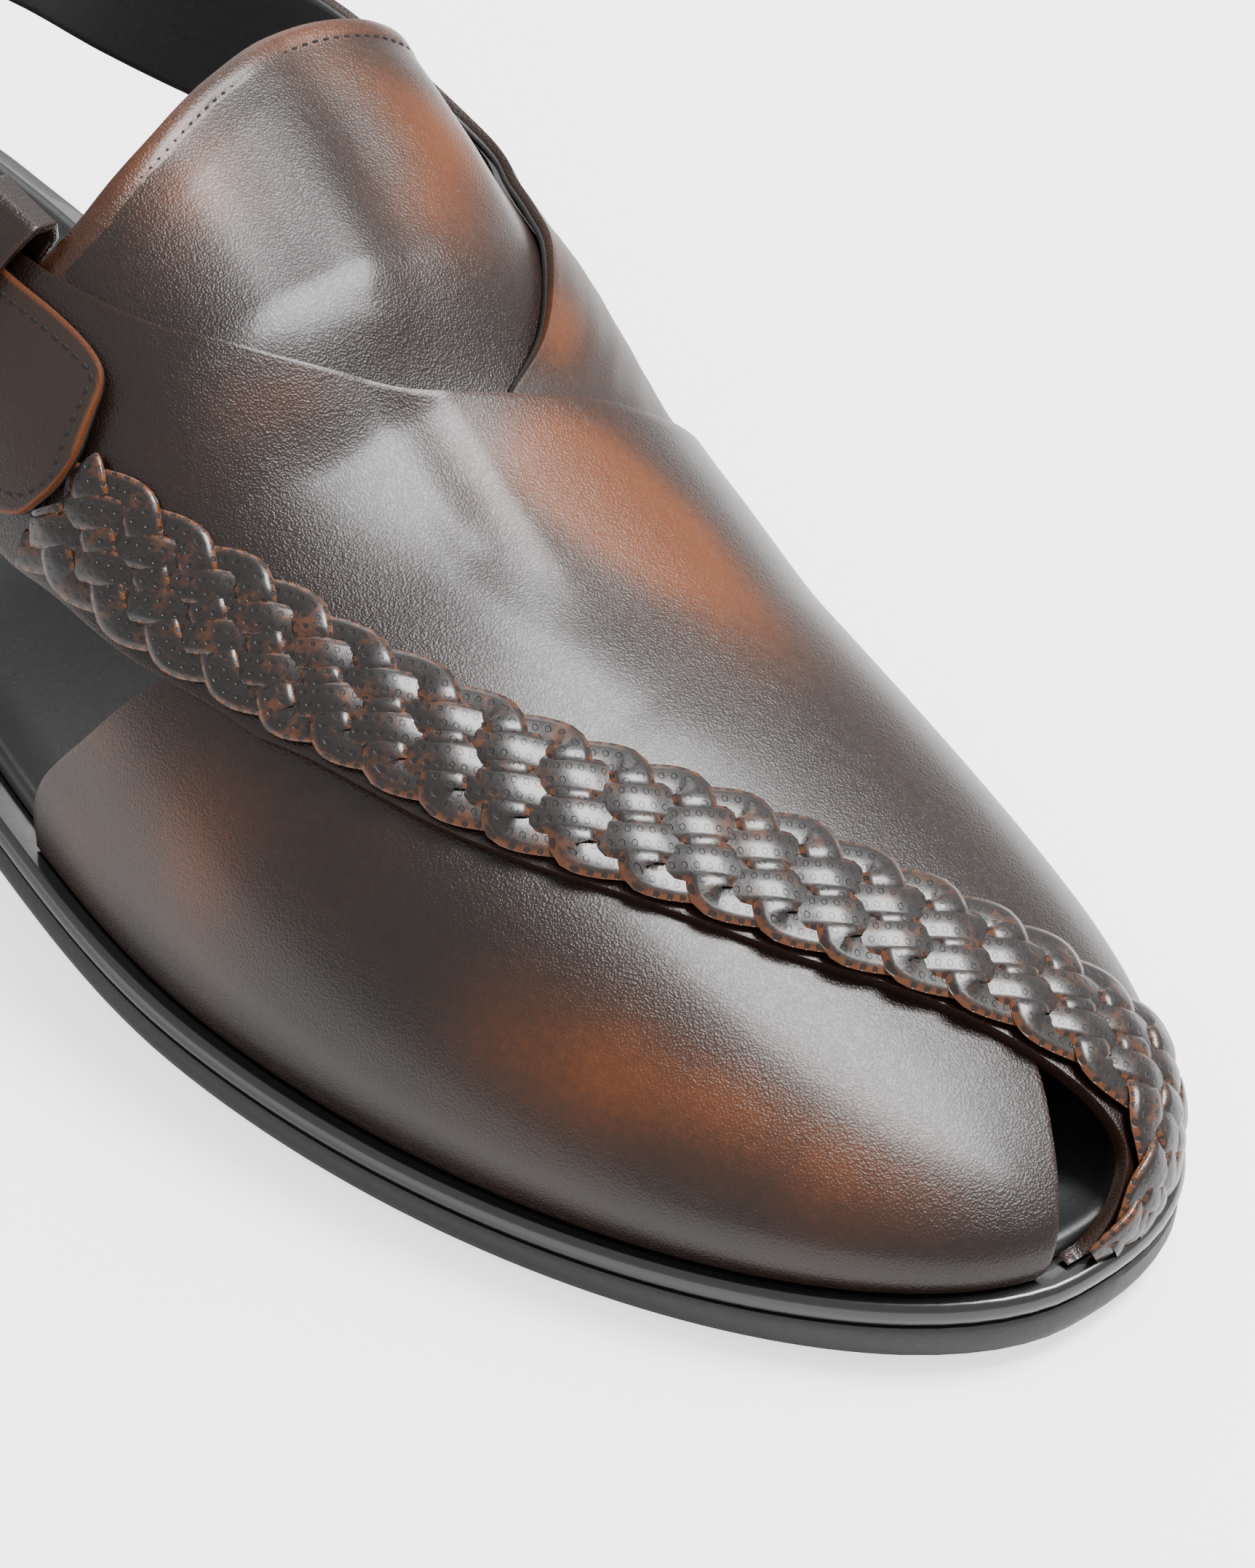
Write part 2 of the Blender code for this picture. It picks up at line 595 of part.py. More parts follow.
def build_sole(parts):
    black = material("outsole_black", (0.012, 0.012, 0.013), 0.62)
    bead = material("welt_black", (0.014, 0.013, 0.013), 0.3)
    grey = material("insole_grey", (0.045, 0.045, 0.047), 0.55)

    def outsole_top(y):
        return seat_height(y) - WELT_THICK - GAP

    out = SOLE_MARGIN
    add_object("outsole", sole_plate([
        (out - SOLE_ROUND, ground_height),
        (out - 0.3 * SOLE_ROUND, lambda y: ground_height(y) + 0.18 * OUTSOLE_THICK),
        (out, lambda y: ground_height(y) + 0.5 * OUTSOLE_THICK),
        (out - 0.1 * SOLE_ROUND, lambda y: outsole_top(y) - 0.12 * OUTSOLE_THICK),
        (out - 0.4 * SOLE_ROUND, outsole_top)]), parts, black)
    add_object("welt", sole_plate([
        (out - 0.7 * BEAD_ROUND, lambda y: outsole_top(y) + GAP),
        (out - 0.15 * BEAD_ROUND, lambda y: outsole_top(y) + GAP + 0.2 * WELT_THICK),
        (out + 0.1 * BEAD_ROUND, lambda y: outsole_top(y) + GAP + 0.5 * WELT_THICK),
        (out - 0.3 * BEAD_ROUND, lambda y: seat_height(y) - 0.14 * WELT_THICK),
        (out - BEAD_ROUND, seat_height)]), parts, bead)
    add_object("insole", sole_plate([
        (-1.12 * WALL, lambda y: seat_height(y) + GAP),
        (-1.10 * WALL, lambda y: seat_height(y) + GAP + 0.75 * INSOLE_THICK),
        (-1.32 * WALL, lambda y: seat_height(y) + GAP + INSOLE_THICK)]), parts, grey)
    heel_front = (HEEL_LENGTH - SOLE_MARGIN - HEEL_ROUND) / (BALL_LINE - HEEL_ROUND)
    add_object("heel", sole_plate([
        (out - HEEL_TAPER, lambda y: 0 * y),
        (out - 0.55 * HEEL_TAPER, lambda y: 0 * y + 0.45 * HEEL_TAPER),
        (out - 0.2 * HEEL_TAPER, lambda y: ground_height(y) - GAP)],
        HEEL_ROWS + round(heel_front * WAIST_ROWS)), parts, black)


def build_upper(parts, cutters):
    brown = material("upper_leather", (0.075, 0.032, 0.016), 0.38)
    wing = add_object("wing_shape", grid_surface(lifted_wing, 26, 8), parts, brown)
    solidify(wing, WALL)
    band = add_object("band_shape", grid_surface(lifted_band, 42, 16, band_columns), parts, brown)
    solidify(band, WALL)
    strap = add_object("strap_shape", grid_surface(strap_surface, 60, 8), parts, brown)
    solidify(strap, WALL)
    upper = fixed_copy(band, "upper", parts, brown)
    for piece in (wing, strap):
        joined = fixed_copy(piece, piece.name + "_joined", cutters, brown)
        joined.hide_render = True
        joined.display_type = "WIRE"
        join_solid(upper, joined)
    for piece in (wing, band, strap):
        bpy.data.objects.remove(piece)


def build_tongue(parts):
    brown = material("tongue_leather", (0.09, 0.042, 0.02), 0.36)
    tongue = add_object("tongue", grid_surface(lifted_tongue, 16, 14), parts, brown)
    solidify(tongue, TONGUE_WALL)


def build_braid(parts):
    dark = material("braid_leather", (0.05, 0.022, 0.013), 0.3)
    bm = grid_surface(lifted_plait, 4 * BRAID_CROSSINGS, 6)
    made = bmesh.ops.extrude_face_region(bm, geom=list(bm.faces))
    top = [g for g in made["geom"] if isinstance(g, bmesh.types.BMVert)]
    keep_s, keep_t = bm.verts.layers.float["s"], bm.verts.layers.float["t"]
    s, t = np.array([v[keep_s] for v in top]), np.array([v[keep_t] for v in top])
    for v, q in zip(top, lifted_plait(s, t, BRAID_WALL + plait_rise(s, t))):
        v.co = (q[0], q[1] - ORIGIN_Y, q[2])
    bmesh.ops.recalc_face_normals(bm, faces=list(bm.faces))
    if bm.calc_volume(signed=True) < 0:
        bmesh.ops.reverse_faces(bm, faces=list(bm.faces))
    add_object("braid", bm, parts, dark)


def build_keeper(parts):
    brown = material("keeper_leather", (0.055, 0.026, 0.015), 0.4)
    bm = grid_surface(keeper_surface, 24, 3)
    bmesh.ops.remove_doubles(bm, verts=list(bm.verts), dist=0.00001)
    keeper = add_object("keeper", bm, parts, brown)
    solidify(keeper, KEEPER_WALL)


def main():
    for old in list(bpy.data.objects):
        bpy.data.objects.remove(old, do_unlink=True)
    parts = collection("peshawari_sandal")
    cutters = collection("joined_shapes")
    build_sole(parts)
    build_upper(parts, cutters)
    build_tongue(parts)
    build_braid(parts)
    build_keeper(parts)


main()
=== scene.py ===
import math

import bmesh
import bpy
import numpy as np
from mathutils import Matrix, Vector


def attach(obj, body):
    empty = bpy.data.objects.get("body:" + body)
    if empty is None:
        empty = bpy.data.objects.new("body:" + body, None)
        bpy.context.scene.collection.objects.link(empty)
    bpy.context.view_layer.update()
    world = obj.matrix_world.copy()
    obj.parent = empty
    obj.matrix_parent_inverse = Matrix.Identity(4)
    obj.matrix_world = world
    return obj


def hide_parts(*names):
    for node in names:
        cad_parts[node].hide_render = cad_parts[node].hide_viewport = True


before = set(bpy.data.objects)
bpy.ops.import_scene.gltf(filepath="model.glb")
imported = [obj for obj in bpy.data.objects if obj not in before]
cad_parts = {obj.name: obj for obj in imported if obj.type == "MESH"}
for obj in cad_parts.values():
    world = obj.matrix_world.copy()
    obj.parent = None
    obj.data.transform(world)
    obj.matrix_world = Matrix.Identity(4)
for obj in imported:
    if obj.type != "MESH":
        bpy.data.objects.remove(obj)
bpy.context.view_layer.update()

print("frame loaded:", ", ".join(sorted(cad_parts)))

# The last that every band lies on, in metres, the same values as in the part
last = {
    "shoeLength": 0.292, "ballLine": 0.18, "instepLine": 0.14, "heelLength": 0.062, "heelRound": 0.034,
    "waistLine": 0.095, "ballOut": 0.0526, "ballIn": 0.0523, "heelHalf": 0.031, "toeSwing": 0.0078,
    "toeHeight": 0.0211, "ballHeight": 0.0496, "instepHeight": 0.0735, "heelRaise": 0.0156,
    "outsoleThick": 0.0043, "weltThick": 0.0038, "insoleThick": 0.0025, "soleMargin": 0.0029,
    "toeSpring": 0.0022, "wall": 0.002, "gap": 0.0003, "axisTilt": 25.0,
    "strapLow": 0.0528, "strapWidth": 0.0277, "strapHalf": 0.03, "ankleLength": 0.125,
    "power": 2.6, "outerToePower": 1.9, "crossPower": 2.13, "outerWaist": 0.787, "innerWaist": 0.607,
    "bodyTaper": 0.14, "ridgeShare": 0.38, "backLine": 0.33, "backHeight": 1.27,
}
ballLine, waistLine = last["ballLine"], last["waistLine"]
toeReach = last["shoeLength"] - last["soleMargin"] - ballLine
soleThick = last["outsoleThick"] + last["weltThick"] + last["gap"]
originY = 0.5 * last["heelLength"] - last["soleMargin"]
frameShift = np.array([0, originY, 0])  # the last starts at the heel's back
wall = last["wall"]
gap = last["gap"]
sunkEdge = -0.9 * wall  # how far a band's lower edge sinks into the last

# Edges of the bands: station (0 heel to 1 ball line, 1 to 2 round the toe) and angle in degrees
edges = {
    "front": [(0.56, 15.0), (0.64, 8.5), (0.735, 6.0), (0.818, 9.2), (0.893, 13.9), (0.975, 19.3),
              (1.07, 22.8), (1.177, 26.9), (1.264, 31.8), (1.327, 38.6), (1.369, 46.6), (1.41, 55.2),
              (1.446, 63.3), (1.478, 72.5), (1.515, 80.3), (1.567, 87.0), (1.639, 92.9), (1.72, 95.8),
              (1.8, 94.6), (1.9, 92.0), (1.996, 90.2)],
    "plait": [(0.56, 20.0), (0.64, 18.6), (0.714, 19.4), (0.794, 22.8), (0.863, 28.3), (0.935, 34.6),
              (1.037, 41.1), (1.114, 45.8), (1.169, 51.3), (1.212, 57.6), (1.257, 66.3), (1.301, 74.8),
              (1.352, 83.4), (1.399, 91.5), (1.45, 99.0), (1.508, 105.0), (1.61, 113.6), (1.69, 116.6),
              (1.77, 114.6), (1.83, 110.0), (1.88, 106.0), (1.926, 104.0)],
    "rear": [(0.56, 25.0), (0.6, 26.6), (0.644, 28.4), (0.693, 31.7), (0.738, 35.5), (0.775, 40.2),
             (0.805, 46.4), (0.83, 53.8), (0.855, 62.6), (0.872, 69.6), (0.893, 80.2), (0.908, 91.5),
             (0.92, 101.5), (0.92, 112.0), (0.905, 122.0), (0.876, 134.0), (0.844, 145.0), (0.822, 154.9)],
    "wingRear": [(0.812, 0.0), (0.807, 5.1), (0.823, 11.5), (0.846, 18.2), (0.868, 24.9), (0.888, 32.2),
                 (0.91, 39.9), (0.933, 48.0)],
    "wingTop": [(0.933, 48.0), (0.99, 55.0), (1.111, 61.0), (1.247, 65.5), (1.492, 67.5), (1.824, 66.5),
                (2.04, 61.0), (2.165, 52.0), (2.25, 43.0)],
    "wingFront": [(1.94, 0.0), (1.956, 5.4), (1.973, 10.8), (2.002, 16.7), (2.041, 22.2), (2.093, 28.1),
                  (2.151, 33.0), (2.196, 36.8), (2.25, 43.0)],
    "tongueTop": [(0.652, 54.0), (0.6545, 58.0), (0.653, 62.3), (0.646, 68.7), (0.636, 76.8), (0.622, 85.8),
                  (0.61, 94.3), (0.6, 102.0), (0.595, 108.9), (0.594, 115.4), (0.594, 121.5), (0.596, 128.5),
                  (0.607, 133.5), (0.63, 137.0), (0.665, 139.5)],
    "tongueIn": [(0.665, 139.5), (0.72, 141.5), (0.79, 141.5), (0.86, 137.0), (0.905, 131.0)],
    "tongueLow": [(0.705, 50.5), (0.79, 56.0), (0.855, 66.0), (0.9, 80.0), (0.935, 95.0), (0.945, 110.0),
                  (0.932, 122.0), (0.905, 131.0)],
    "tongueOut": [(0.652, 54.0), (0.672, 52.0), (0.705, 50.5)],
}

# Inner ankle band: upper station, angle, lower station, angle, lift in walls
ankleRows = [(0.945, 95.5, 0.94, 136.0, 1.05), (0.915, 100.0, 0.905, 141.0, 1.05),
             (0.888, 105.6, 0.87, 146.0, 1.0), (0.849, 117.0, 0.835, 149.5, 0.95),
             (0.788, 127.0, 0.79, 151.5, 0.9), (0.735, 133.0, 0.74, 152.5, 0.9),
             (0.69, 136.6, 0.69, 152.8, 0.9), (0.64, 137.4, 0.64, 152.2, 0.9)]
# Free part of the heel strap: share of the half width, of the ankle length, and lean
strapRows = [(-1.37, 0.68, 0.2), (-1.15, 0.52, 0.17), (-1.00, 0.37, 0.15), (-0.9, 0.23, 0.14),
             (-0.7, 0.105, 0.15), (-0.38, 0.03, 0.17), (0.00, 0.000, 0.18), (0.38, 0.03, 0.17),
             (0.72, 0.11, 0.15), (0.93, 0.245, 0.14), (1.05, 0.4, 0.16), (1.17, 0.56, 0.19)]
# Strap end on the outer side: upper station, angle, lower station, angle, lifts in walls
tabRows = [(0.59, 49.6, 0.61, 33.5, 2.15, 2.35), (0.637, 50.8, 0.665, 33.6, 2.12, 2.55),
           (0.69, 53.0, 0.722, 34.8, 2.12, 2.75), (0.722, 53.9, 0.757, 37.0, 2.12, 2.8),
           (0.742, 53.9, 0.772, 40.4, 2.12, 2.75), (0.753, 53.2, 0.7775, 43.4, 2.15, 2.65),
           (0.76, 51.9, 0.776, 46.6, 2.2, 2.5)]


def blend(t):
    t = np.clip(t, 0.0, 1.0)
    return t * t * (3.0 - 2.0 * t)


def blendFrom(value, start, over):
    return blend((value - start) / over)


def runLength(points):
    # length run along a row of points
    return np.concatenate([[0], np.cumsum(np.linalg.norm(np.diff(points, axis=0), axis=1))])


def smoothTable(xs, ys, x):
    # monotone cubic through a short table, straight beyond its ends
    xs, ys, x = np.asarray(xs, float), np.asarray(ys, float), np.asarray(x, float)
    h = np.diff(xs)
    d = np.diff(ys) / h
    m = np.empty_like(ys)
    m[1:-1] = np.where(d[:-1] * d[1:] > 0, 2 * d[:-1] * d[1:] / (d[:-1] + d[1:] + 1e-12), 0.0)
    m[0], m[-1] = d[0], d[-1]
    i = np.clip(np.searchsorted(xs, x) - 1, 0, len(h) - 1)
    t = (x - xs[i]) / h[i]
    a = ys[i] * (1 + 2 * t) * (1 - t) ** 2 + m[i] * h[i] * t * (1 - t) ** 2
    b = ys[i + 1] * t * t * (3 - 2 * t) + m[i + 1] * h[i] * t * t * (t - 1)
    before = ys[0] + m[0] * (x - xs[0])
    after = ys[-1] + m[-1] * (x - xs[-1])
    return np.where(x < xs[0], before, np.where(x > xs[-1], after, a + b))


def roundedCurve(points, t):
    # point at share t of the length of a smooth curve through the points
    p = np.asarray(points, float)
    q = np.concatenate([[2 * p[0] - p[1]], p, [2 * p[-1] - p[-2]]])
    fine = []
    for i in range(len(p) - 1):
        u = np.linspace(0, 1, 12, endpoint=False)[:, None]
        a, b, c, d = q[i], q[i + 1], q[i + 2], q[i + 3]
        fine.append(0.5 * (2 * b + (c - a) * u + (2 * a - 5 * b + 4 * c - d) * u ** 2
                           + (3 * b - a - 3 * c + d) * u ** 3))
    fine = np.concatenate(fine + [p[-1:]])
    scale = np.array([90.0, 1.0]) if p.shape[1] == 2 else np.ones(p.shape[1])
    run = runLength(fine * scale)
    run /= run[-1]
    return np.stack([np.interp(t, run, fine[:, k]) for k in range(p.shape[1])], -1)


def seatHeight(y):
    heel = last["heelRaise"] * blend((last["instepLine"] - y) / waistLine)
    toeStart = 1.1 * ballLine
    toe = 1.6 * last["toeSpring"] * np.clip((y - toeStart) / (last["shoeLength"] - toeStart), 0, 1.1) ** 2
    return soleThick + heel + toe


def groundHeight(y):
    heel = last["heelRaise"] * blend((0.89 * last["instepLine"] - y) / (0.79 * waistLine))
    toeStart = 1.14 * ballLine
    toe = last["toeSpring"] * np.clip((y - toeStart) / (last["shoeLength"] - toeStart), 0, 1.1) ** 2
    return heel + toe


def ridgeHeight(y):
    middle = 0.5 * (last["instepLine"] + ballLine)
    instep, ball = last["instepHeight"], last["ballHeight"]
    between = last["ridgeShare"] * instep + (1 - last["ridgeShare"]) * ball
    places = [last["backLine"] * ballLine, last["instepLine"], middle, ballLine,
              ballLine + toeReach]
    return smoothTable(places, [last["backHeight"] * instep, instep, between, ball, last["toeHeight"]], y)


def centreLine(y):
    return -last["toeSwing"] * np.clip((y - ballLine) / toeReach, 0, 1.1) ** 1.6


def ballHalf(outer):
    return np.where(outer, last["ballOut"], last["ballIn"])


def footHalf(outer, y):
    waist = np.where(outer, last["outerWaist"], last["innerWaist"])
    share = blend((ballLine - y) / (ballLine - waistLine))
    return ballHalf(outer) * (1 - (1 - waist) * share)


def bodyHalf(outer, y):
    share = np.clip((ballLine - y) / (ballLine - waistLine), 0, 1.5) ** 1.3
    return ballHalf(outer) * (1 + np.where(outer, -1, 1) * last["bodyTaper"] * share)


def bodyPoints(y, angle):
    # last behind the ball, angle from the outer edge over the ridge
    a = np.radians(angle)
    c, s = np.abs(np.cos(a)), np.abs(np.sin(a))
    outer = np.cos(a) > 0
    n = last["power"]
    k = (c ** n + s ** n) ** (-1 / n)
    low, full = footHalf(outer, y), bodyHalf(outer, y)
    half = low + (full - low) * blend(s * k / 0.55)
    x = centreLine(y) + np.where(outer, 1, -1) * half * c * k
    z = seatHeight(y) + ridgeHeight(y) * s * k
    return np.stack([x, y + 0 * x, z], -1)


def toePoints(d):
    # last ahead of the ball, in the direction d from the middle of the ball line
    dx, dy, dz = d[..., 0], np.maximum(d[..., 1], 0), np.maximum(d[..., 2], 0)
    outer = dx > 0
    rise = blend(np.arctan2(dz, dy) / (math.pi / 2))
    n = np.where(outer, last["outerToePower"], last["power"]) * (1 - rise) + last["power"] * rise
    q = last["crossPower"]
    r = (dy ** q + dz ** q) ** (1 / q)
    k = (np.abs(dx) ** n + r ** n) ** (-1 / n)
    y = ballLine + toeReach * dy * k
    x = centreLine(y) + ballHalf(outer) * dx * k
    return np.stack([x, y, seatHeight(y) + ridgeHeight(y) * dz * k], -1)


def bandPoints(station, angle):
    tilt = math.radians(last["axisTilt"])
    a = np.radians(angle)
    turn = np.radians((2 - np.maximum(station, 1)) * 90)
    d = np.stack([np.cos(a) * math.cos(tilt) - np.sin(a) * np.sin(turn) * math.sin(tilt),
                  np.sin(a) * np.cos(turn),
                  np.cos(a) * math.sin(tilt) + np.sin(a) * np.sin(turn) * math.cos(tilt)], -1)
    body = bodyPoints(np.minimum(station, 1) * ballLine, np.minimum(angle + last["axisTilt"], 180))
    return np.where((station > 1)[..., None], toePoints(d), body)


def wingPoints(station, angle):
    a = np.radians(angle)
    turn = np.radians((np.maximum(station, 1) - 1) * 90)
    d = np.stack([np.cos(a) * np.cos(turn), np.cos(a) * np.sin(turn), np.sin(a)], -1)
    body = bodyPoints(np.minimum(station, 1) * ballLine, angle)
    return np.where((station > 1)[..., None], toePoints(d), body)


def heightShare(p):
    return (p[..., 2] - seatHeight(p[..., 1])) / ridgeHeight(p[..., 1])


def patch(low, high, left, right, s, t):
    a, b = roundedCurve(low, s), roundedCurve(high, s)
    c, d = roundedCurve(left, t), roundedCurve(right, t)
    s, t = s[..., None], t[..., None]
    p00, p10 = np.asarray(low[0]), np.asarray(low[-1])
    p01, p11 = np.asarray(high[0]), np.asarray(high[-1])
    corners = (1 - s) * (1 - t) * p00 + s * (1 - t) * p10 + (1 - s) * t * p01 + s * t * p11
    return (1 - t) * a + t * b + (1 - s) * c + s * d - corners


def featherEdge():
    rows = []
    slope = math.tan(math.radians(last["axisTilt"]))
    for angle in (104.0, 110.0, 120.0, 130.0, 140.0, 147.0, 151.5, 154.0):
        turn = math.degrees(math.asin(min(1, -slope / math.tan(math.radians(angle)))))
        rows.append((2 - turn / 90, angle))
    return rows + [(1.0, 155.0), (0.93, 155.0), (0.88, 155.0), (0.822, 154.9)]


stripShare = 0.22  # part of the cross band that lies under the plait


def bandChart(s, t):
    strip = np.clip(t / stripShare, 0, 1)
    front, plait = roundedCurve(edges["front"], s), roundedCurve(edges["plait"], s)
    lower = front + (plait - front) * strip[..., None]
    across = np.clip((t - stripShare) / (1 - stripShare), 0, 1)
    left = [edges["plait"][0], (0.552, 22.5), edges["rear"][0]]
    upper = patch(edges["plait"], edges["rear"], left, featherEdge(), s, across)
    return np.where((t < stripShare)[..., None], lower, upper)


# Heights over the last in walls, and the start and length of each blend in stations and degrees
bandRise = {
    "plain": 0.76, "overAnkle": 0.84, "atToe": -0.3, "edgeHeight": 0.42,
    "ankleAngle": (58, 12), "ankleStation": (1.09, -0.13), "toeStation": (1.58, 0.25),
}
wingRise = {"edgeHeight": 0.3, "footHeight": 0.1}
tongueRise = {"plain": -0.35, "bulge": 1.1, "from": (104, 18), "to": (124, 8), "station": (0.8, -0.12)}


def bandLift(chart, p):
    # height of the band's inner face over the last, more where it lies on the ankle band
    station, angle = chart[..., 0], chart[..., 1]
    overAnkle = blendFrom(angle, *bandRise["ankleAngle"]) * blendFrom(station, *bandRise["ankleStation"])
    lift = wall * (bandRise["plain"] + bandRise["overAnkle"] * overAnkle
                   + bandRise["atToe"] * blendFrom(station, *bandRise["toeStation"]))
    return sunkEdge + (lift - sunkEdge) * blend(heightShare(p) / bandRise["edgeHeight"])


def surfaceNormals(surface, s, t):
    e = 1e-3
    p = surface(s, t)
    ds = surface(np.minimum(s + e, 1), t) - surface(np.maximum(s - e, 0), t)
    dt = surface(s, np.minimum(t + e, 1)) - surface(s, np.maximum(t - e, 0))
    n = np.cross(ds, dt)
    n /= np.linalg.norm(n, axis=-1, keepdims=True) + 1e-12
    middleY = np.clip(p[..., 1], last["heelLength"], ballLine)
    inside = np.stack([0 * p[..., 0], middleY, 0 * p[..., 0] + soleThick], -1)
    return p, n * np.sign(np.sum(n * (p - inside), -1, keepdims=True))


def raised(surface, s, t, lift):
    p, n = surfaceNormals(surface, s, t)
    return p + n * np.asarray(lift)[..., None]


def wingSurface(s, t):
    low = [(0.812, 0.0), (1.0, 0.0), (1.4, 0.0), (1.94, 0.0)]
    chart = patch(low, edges["wingTop"], edges["wingRear"], edges["wingFront"], s, t)
    return wingPoints(chart[..., 0], chart[..., 1])


def bandSurface(s, t):
    chart = bandChart(s, t)
    return bandPoints(chart[..., 0], chart[..., 1])


def tongueChart(s, t):
    left, right = edges["tongueOut"][::-1], edges["tongueIn"][::-1]
    return patch(edges["tongueLow"], edges["tongueTop"], left, right, s, t)


def tongueSurface(s, t):
    chart = tongueChart(s, t)
    return bodyPoints(chart[..., 0] * ballLine, chart[..., 1])


def ankleSpot(station, angle, lift):
    middle = 0 * station + 0.5
    return raised(lambda u, v: bodyPoints((station + 0.02 * (u - 0.5)) * ballLine, angle + 2 * (v - 0.5)),
                  middle, middle, lift)


def strapTable():
    across = np.linspace(0, 1, 7)
    rows = []
    for s0, a0, s1, a1, lift in ankleRows:
        rows.append(ankleSpot(s0 + (s1 - s0) * across, a0 + (a1 - a0) * across, 0 * across + lift * wall))
    for x, y, lean in strapRows:
        top = np.array([x * last["strapHalf"], last["ankleLength"] * y + 0.005,
                        last["strapLow"] + last["strapWidth"]])
        away = np.array([math.copysign(1, x) if x else 0.0, 0.0]) * min(1, abs(x) / 0.7)
        away[1] = -(1 - abs(away[0]) ** 2) ** 0.5
        width = last["strapWidth"]
        low = top + np.array([away[0] * lean * width, away[1] * lean * width, -width])
        crown = (across * (1 - across) * 4)[:, None] * np.array([away[0], away[1], 0]) * 0.03 * width
        rows.append(top + (low - top) * across[:, None] + crown)
    for s0, a0, s1, a1, up, down in tabRows:
        lift = (up + (down - up) * across) * wall
        rows.append(ankleSpot(s0 + (s1 - s0) * across, a0 + (a1 - a0) * across, lift))
    return np.array(rows)


strapPoints = strapTable()


def strapSurface(s, t):
    width = strapPoints.shape[1]
    along = roundedCurve(strapPoints.reshape(len(strapPoints), -1), s).reshape(len(s), width, 3)
    place = np.clip(t * (width - 1), 0, width - 1 - 1e-9)
    i = place.astype(int)
    f = (place - i)[:, None]
    pick = np.arange(len(s))
    return along[pick, i] * (1 - f) + along[pick, i + 1] * f


def clearOfSole(q, p):
    q[..., 2] += 2 * gap * (1 - blend(heightShare(p) / wingRise["footHeight"]))
    return q


def liftedWing(s, t, extra=0.0):
    p = wingSurface(s, t)
    lift = sunkEdge - sunkEdge * blend(heightShare(p) / wingRise["edgeHeight"])
    return clearOfSole(raised(wingSurface, s, t, lift + extra), p)


def liftedBand(s, t, extra=0.0):
    chart, p = bandChart(s, t), bandSurface(s, t)
    return clearOfSole(raised(bandSurface, s, t, bandLift(chart, p) + extra), p)


def liftedTongue(s, t, extra=0.0):
    # the tongue bulges a little above the ankle band's edge, on the inner side
    chart = tongueChart(s, t)
    station, angle = chart[..., 0], chart[..., 1]
    bulge = blendFrom(angle, *tongueRise["from"]) * (1 - blendFrom(angle, *tongueRise["to"]))
    bulge = bulge * blendFrom(station, *tongueRise["station"])
    return raised(tongueSurface, s, t, wall * (tongueRise["bulge"] * bulge + tongueRise["plain"]) + extra)


def liftedStrap(s, t, extra=0.0):
    p, n = surfaceNormals(strapSurface, s, t)
    outward = np.stack([p[..., 0], 0.6 * (p[..., 1] - 0.5 * last["ankleLength"]), 0 * p[..., 2]], -1)
    high = blend((p[..., 1] - 0.6 * last["ankleLength"]) / 0.02)
    outward[..., 2] = high * (p[..., 2] - soleThick)
    n *= np.sign(np.sum(n * outward, -1, keepdims=True))
    return p + n * (0 * s + extra)[..., None]


# Materials

def newMaterial(name):
    made = bpy.data.materials.new(name)
    made.use_nodes = True
    return made, made.node_tree, made.node_tree.nodes["Principled BSDF"]


def feed(tree, socket, value):
    # a number or a colour is set on the socket, another node's output is linked to it
    if isinstance(value, (int, float)):
        socket.default_value = value
    elif isinstance(value, tuple):
        socket.default_value = (*value, 1)
    else:
        tree.links.new(value, socket)


def fill(tree, node, values):
    for socketName, value in values.items():
        feed(tree, node.inputs[socketName], value)


def mathNode(tree, operation, *values):
    node = tree.nodes.new("ShaderNodeMath")
    node.operation = operation
    for socket, value in zip(node.inputs, values):
        feed(tree, socket, value)
    return node.outputs[0]


def mixColour(tree, factor, a, b):
    node = tree.nodes.new("ShaderNodeMix")
    node.data_type = "RGBA"
    for i, value in ((0, factor), (6, a), (7, b)):
        feed(tree, node.inputs[i], value)
    return node.outputs[2]


def noise(tree, vector, scale, detail, rough, colour=False):
    node = tree.nodes.new("ShaderNodeTexNoise")
    fill(tree, node, {"Vector": vector, "Scale": scale, "Detail": detail, "Roughness": rough})
    return node.outputs["Color"] if colour else node.outputs[0]


def ramp(tree, value, low, high):
    node = tree.nodes.new("ShaderNodeMapRange")
    node.interpolation_type = "SMOOTHSTEP"
    fill(tree, node, {"Value": value, "From Min": low, "From Max": high})
    return node.outputs[0]


# scale, detail and roughness of each noise
grainLook = {
    "warp": (420.0, 3.0, 0.5), "warpDistance": 0.0011, "smoothness": 0.6, "fine": (2600.0, 3.0, 0.6),
    "fineShare": 0.45, "mottle": (700.0, 5.0, 0.7), "clouds": (60.0, 4.0, 0.55),
}


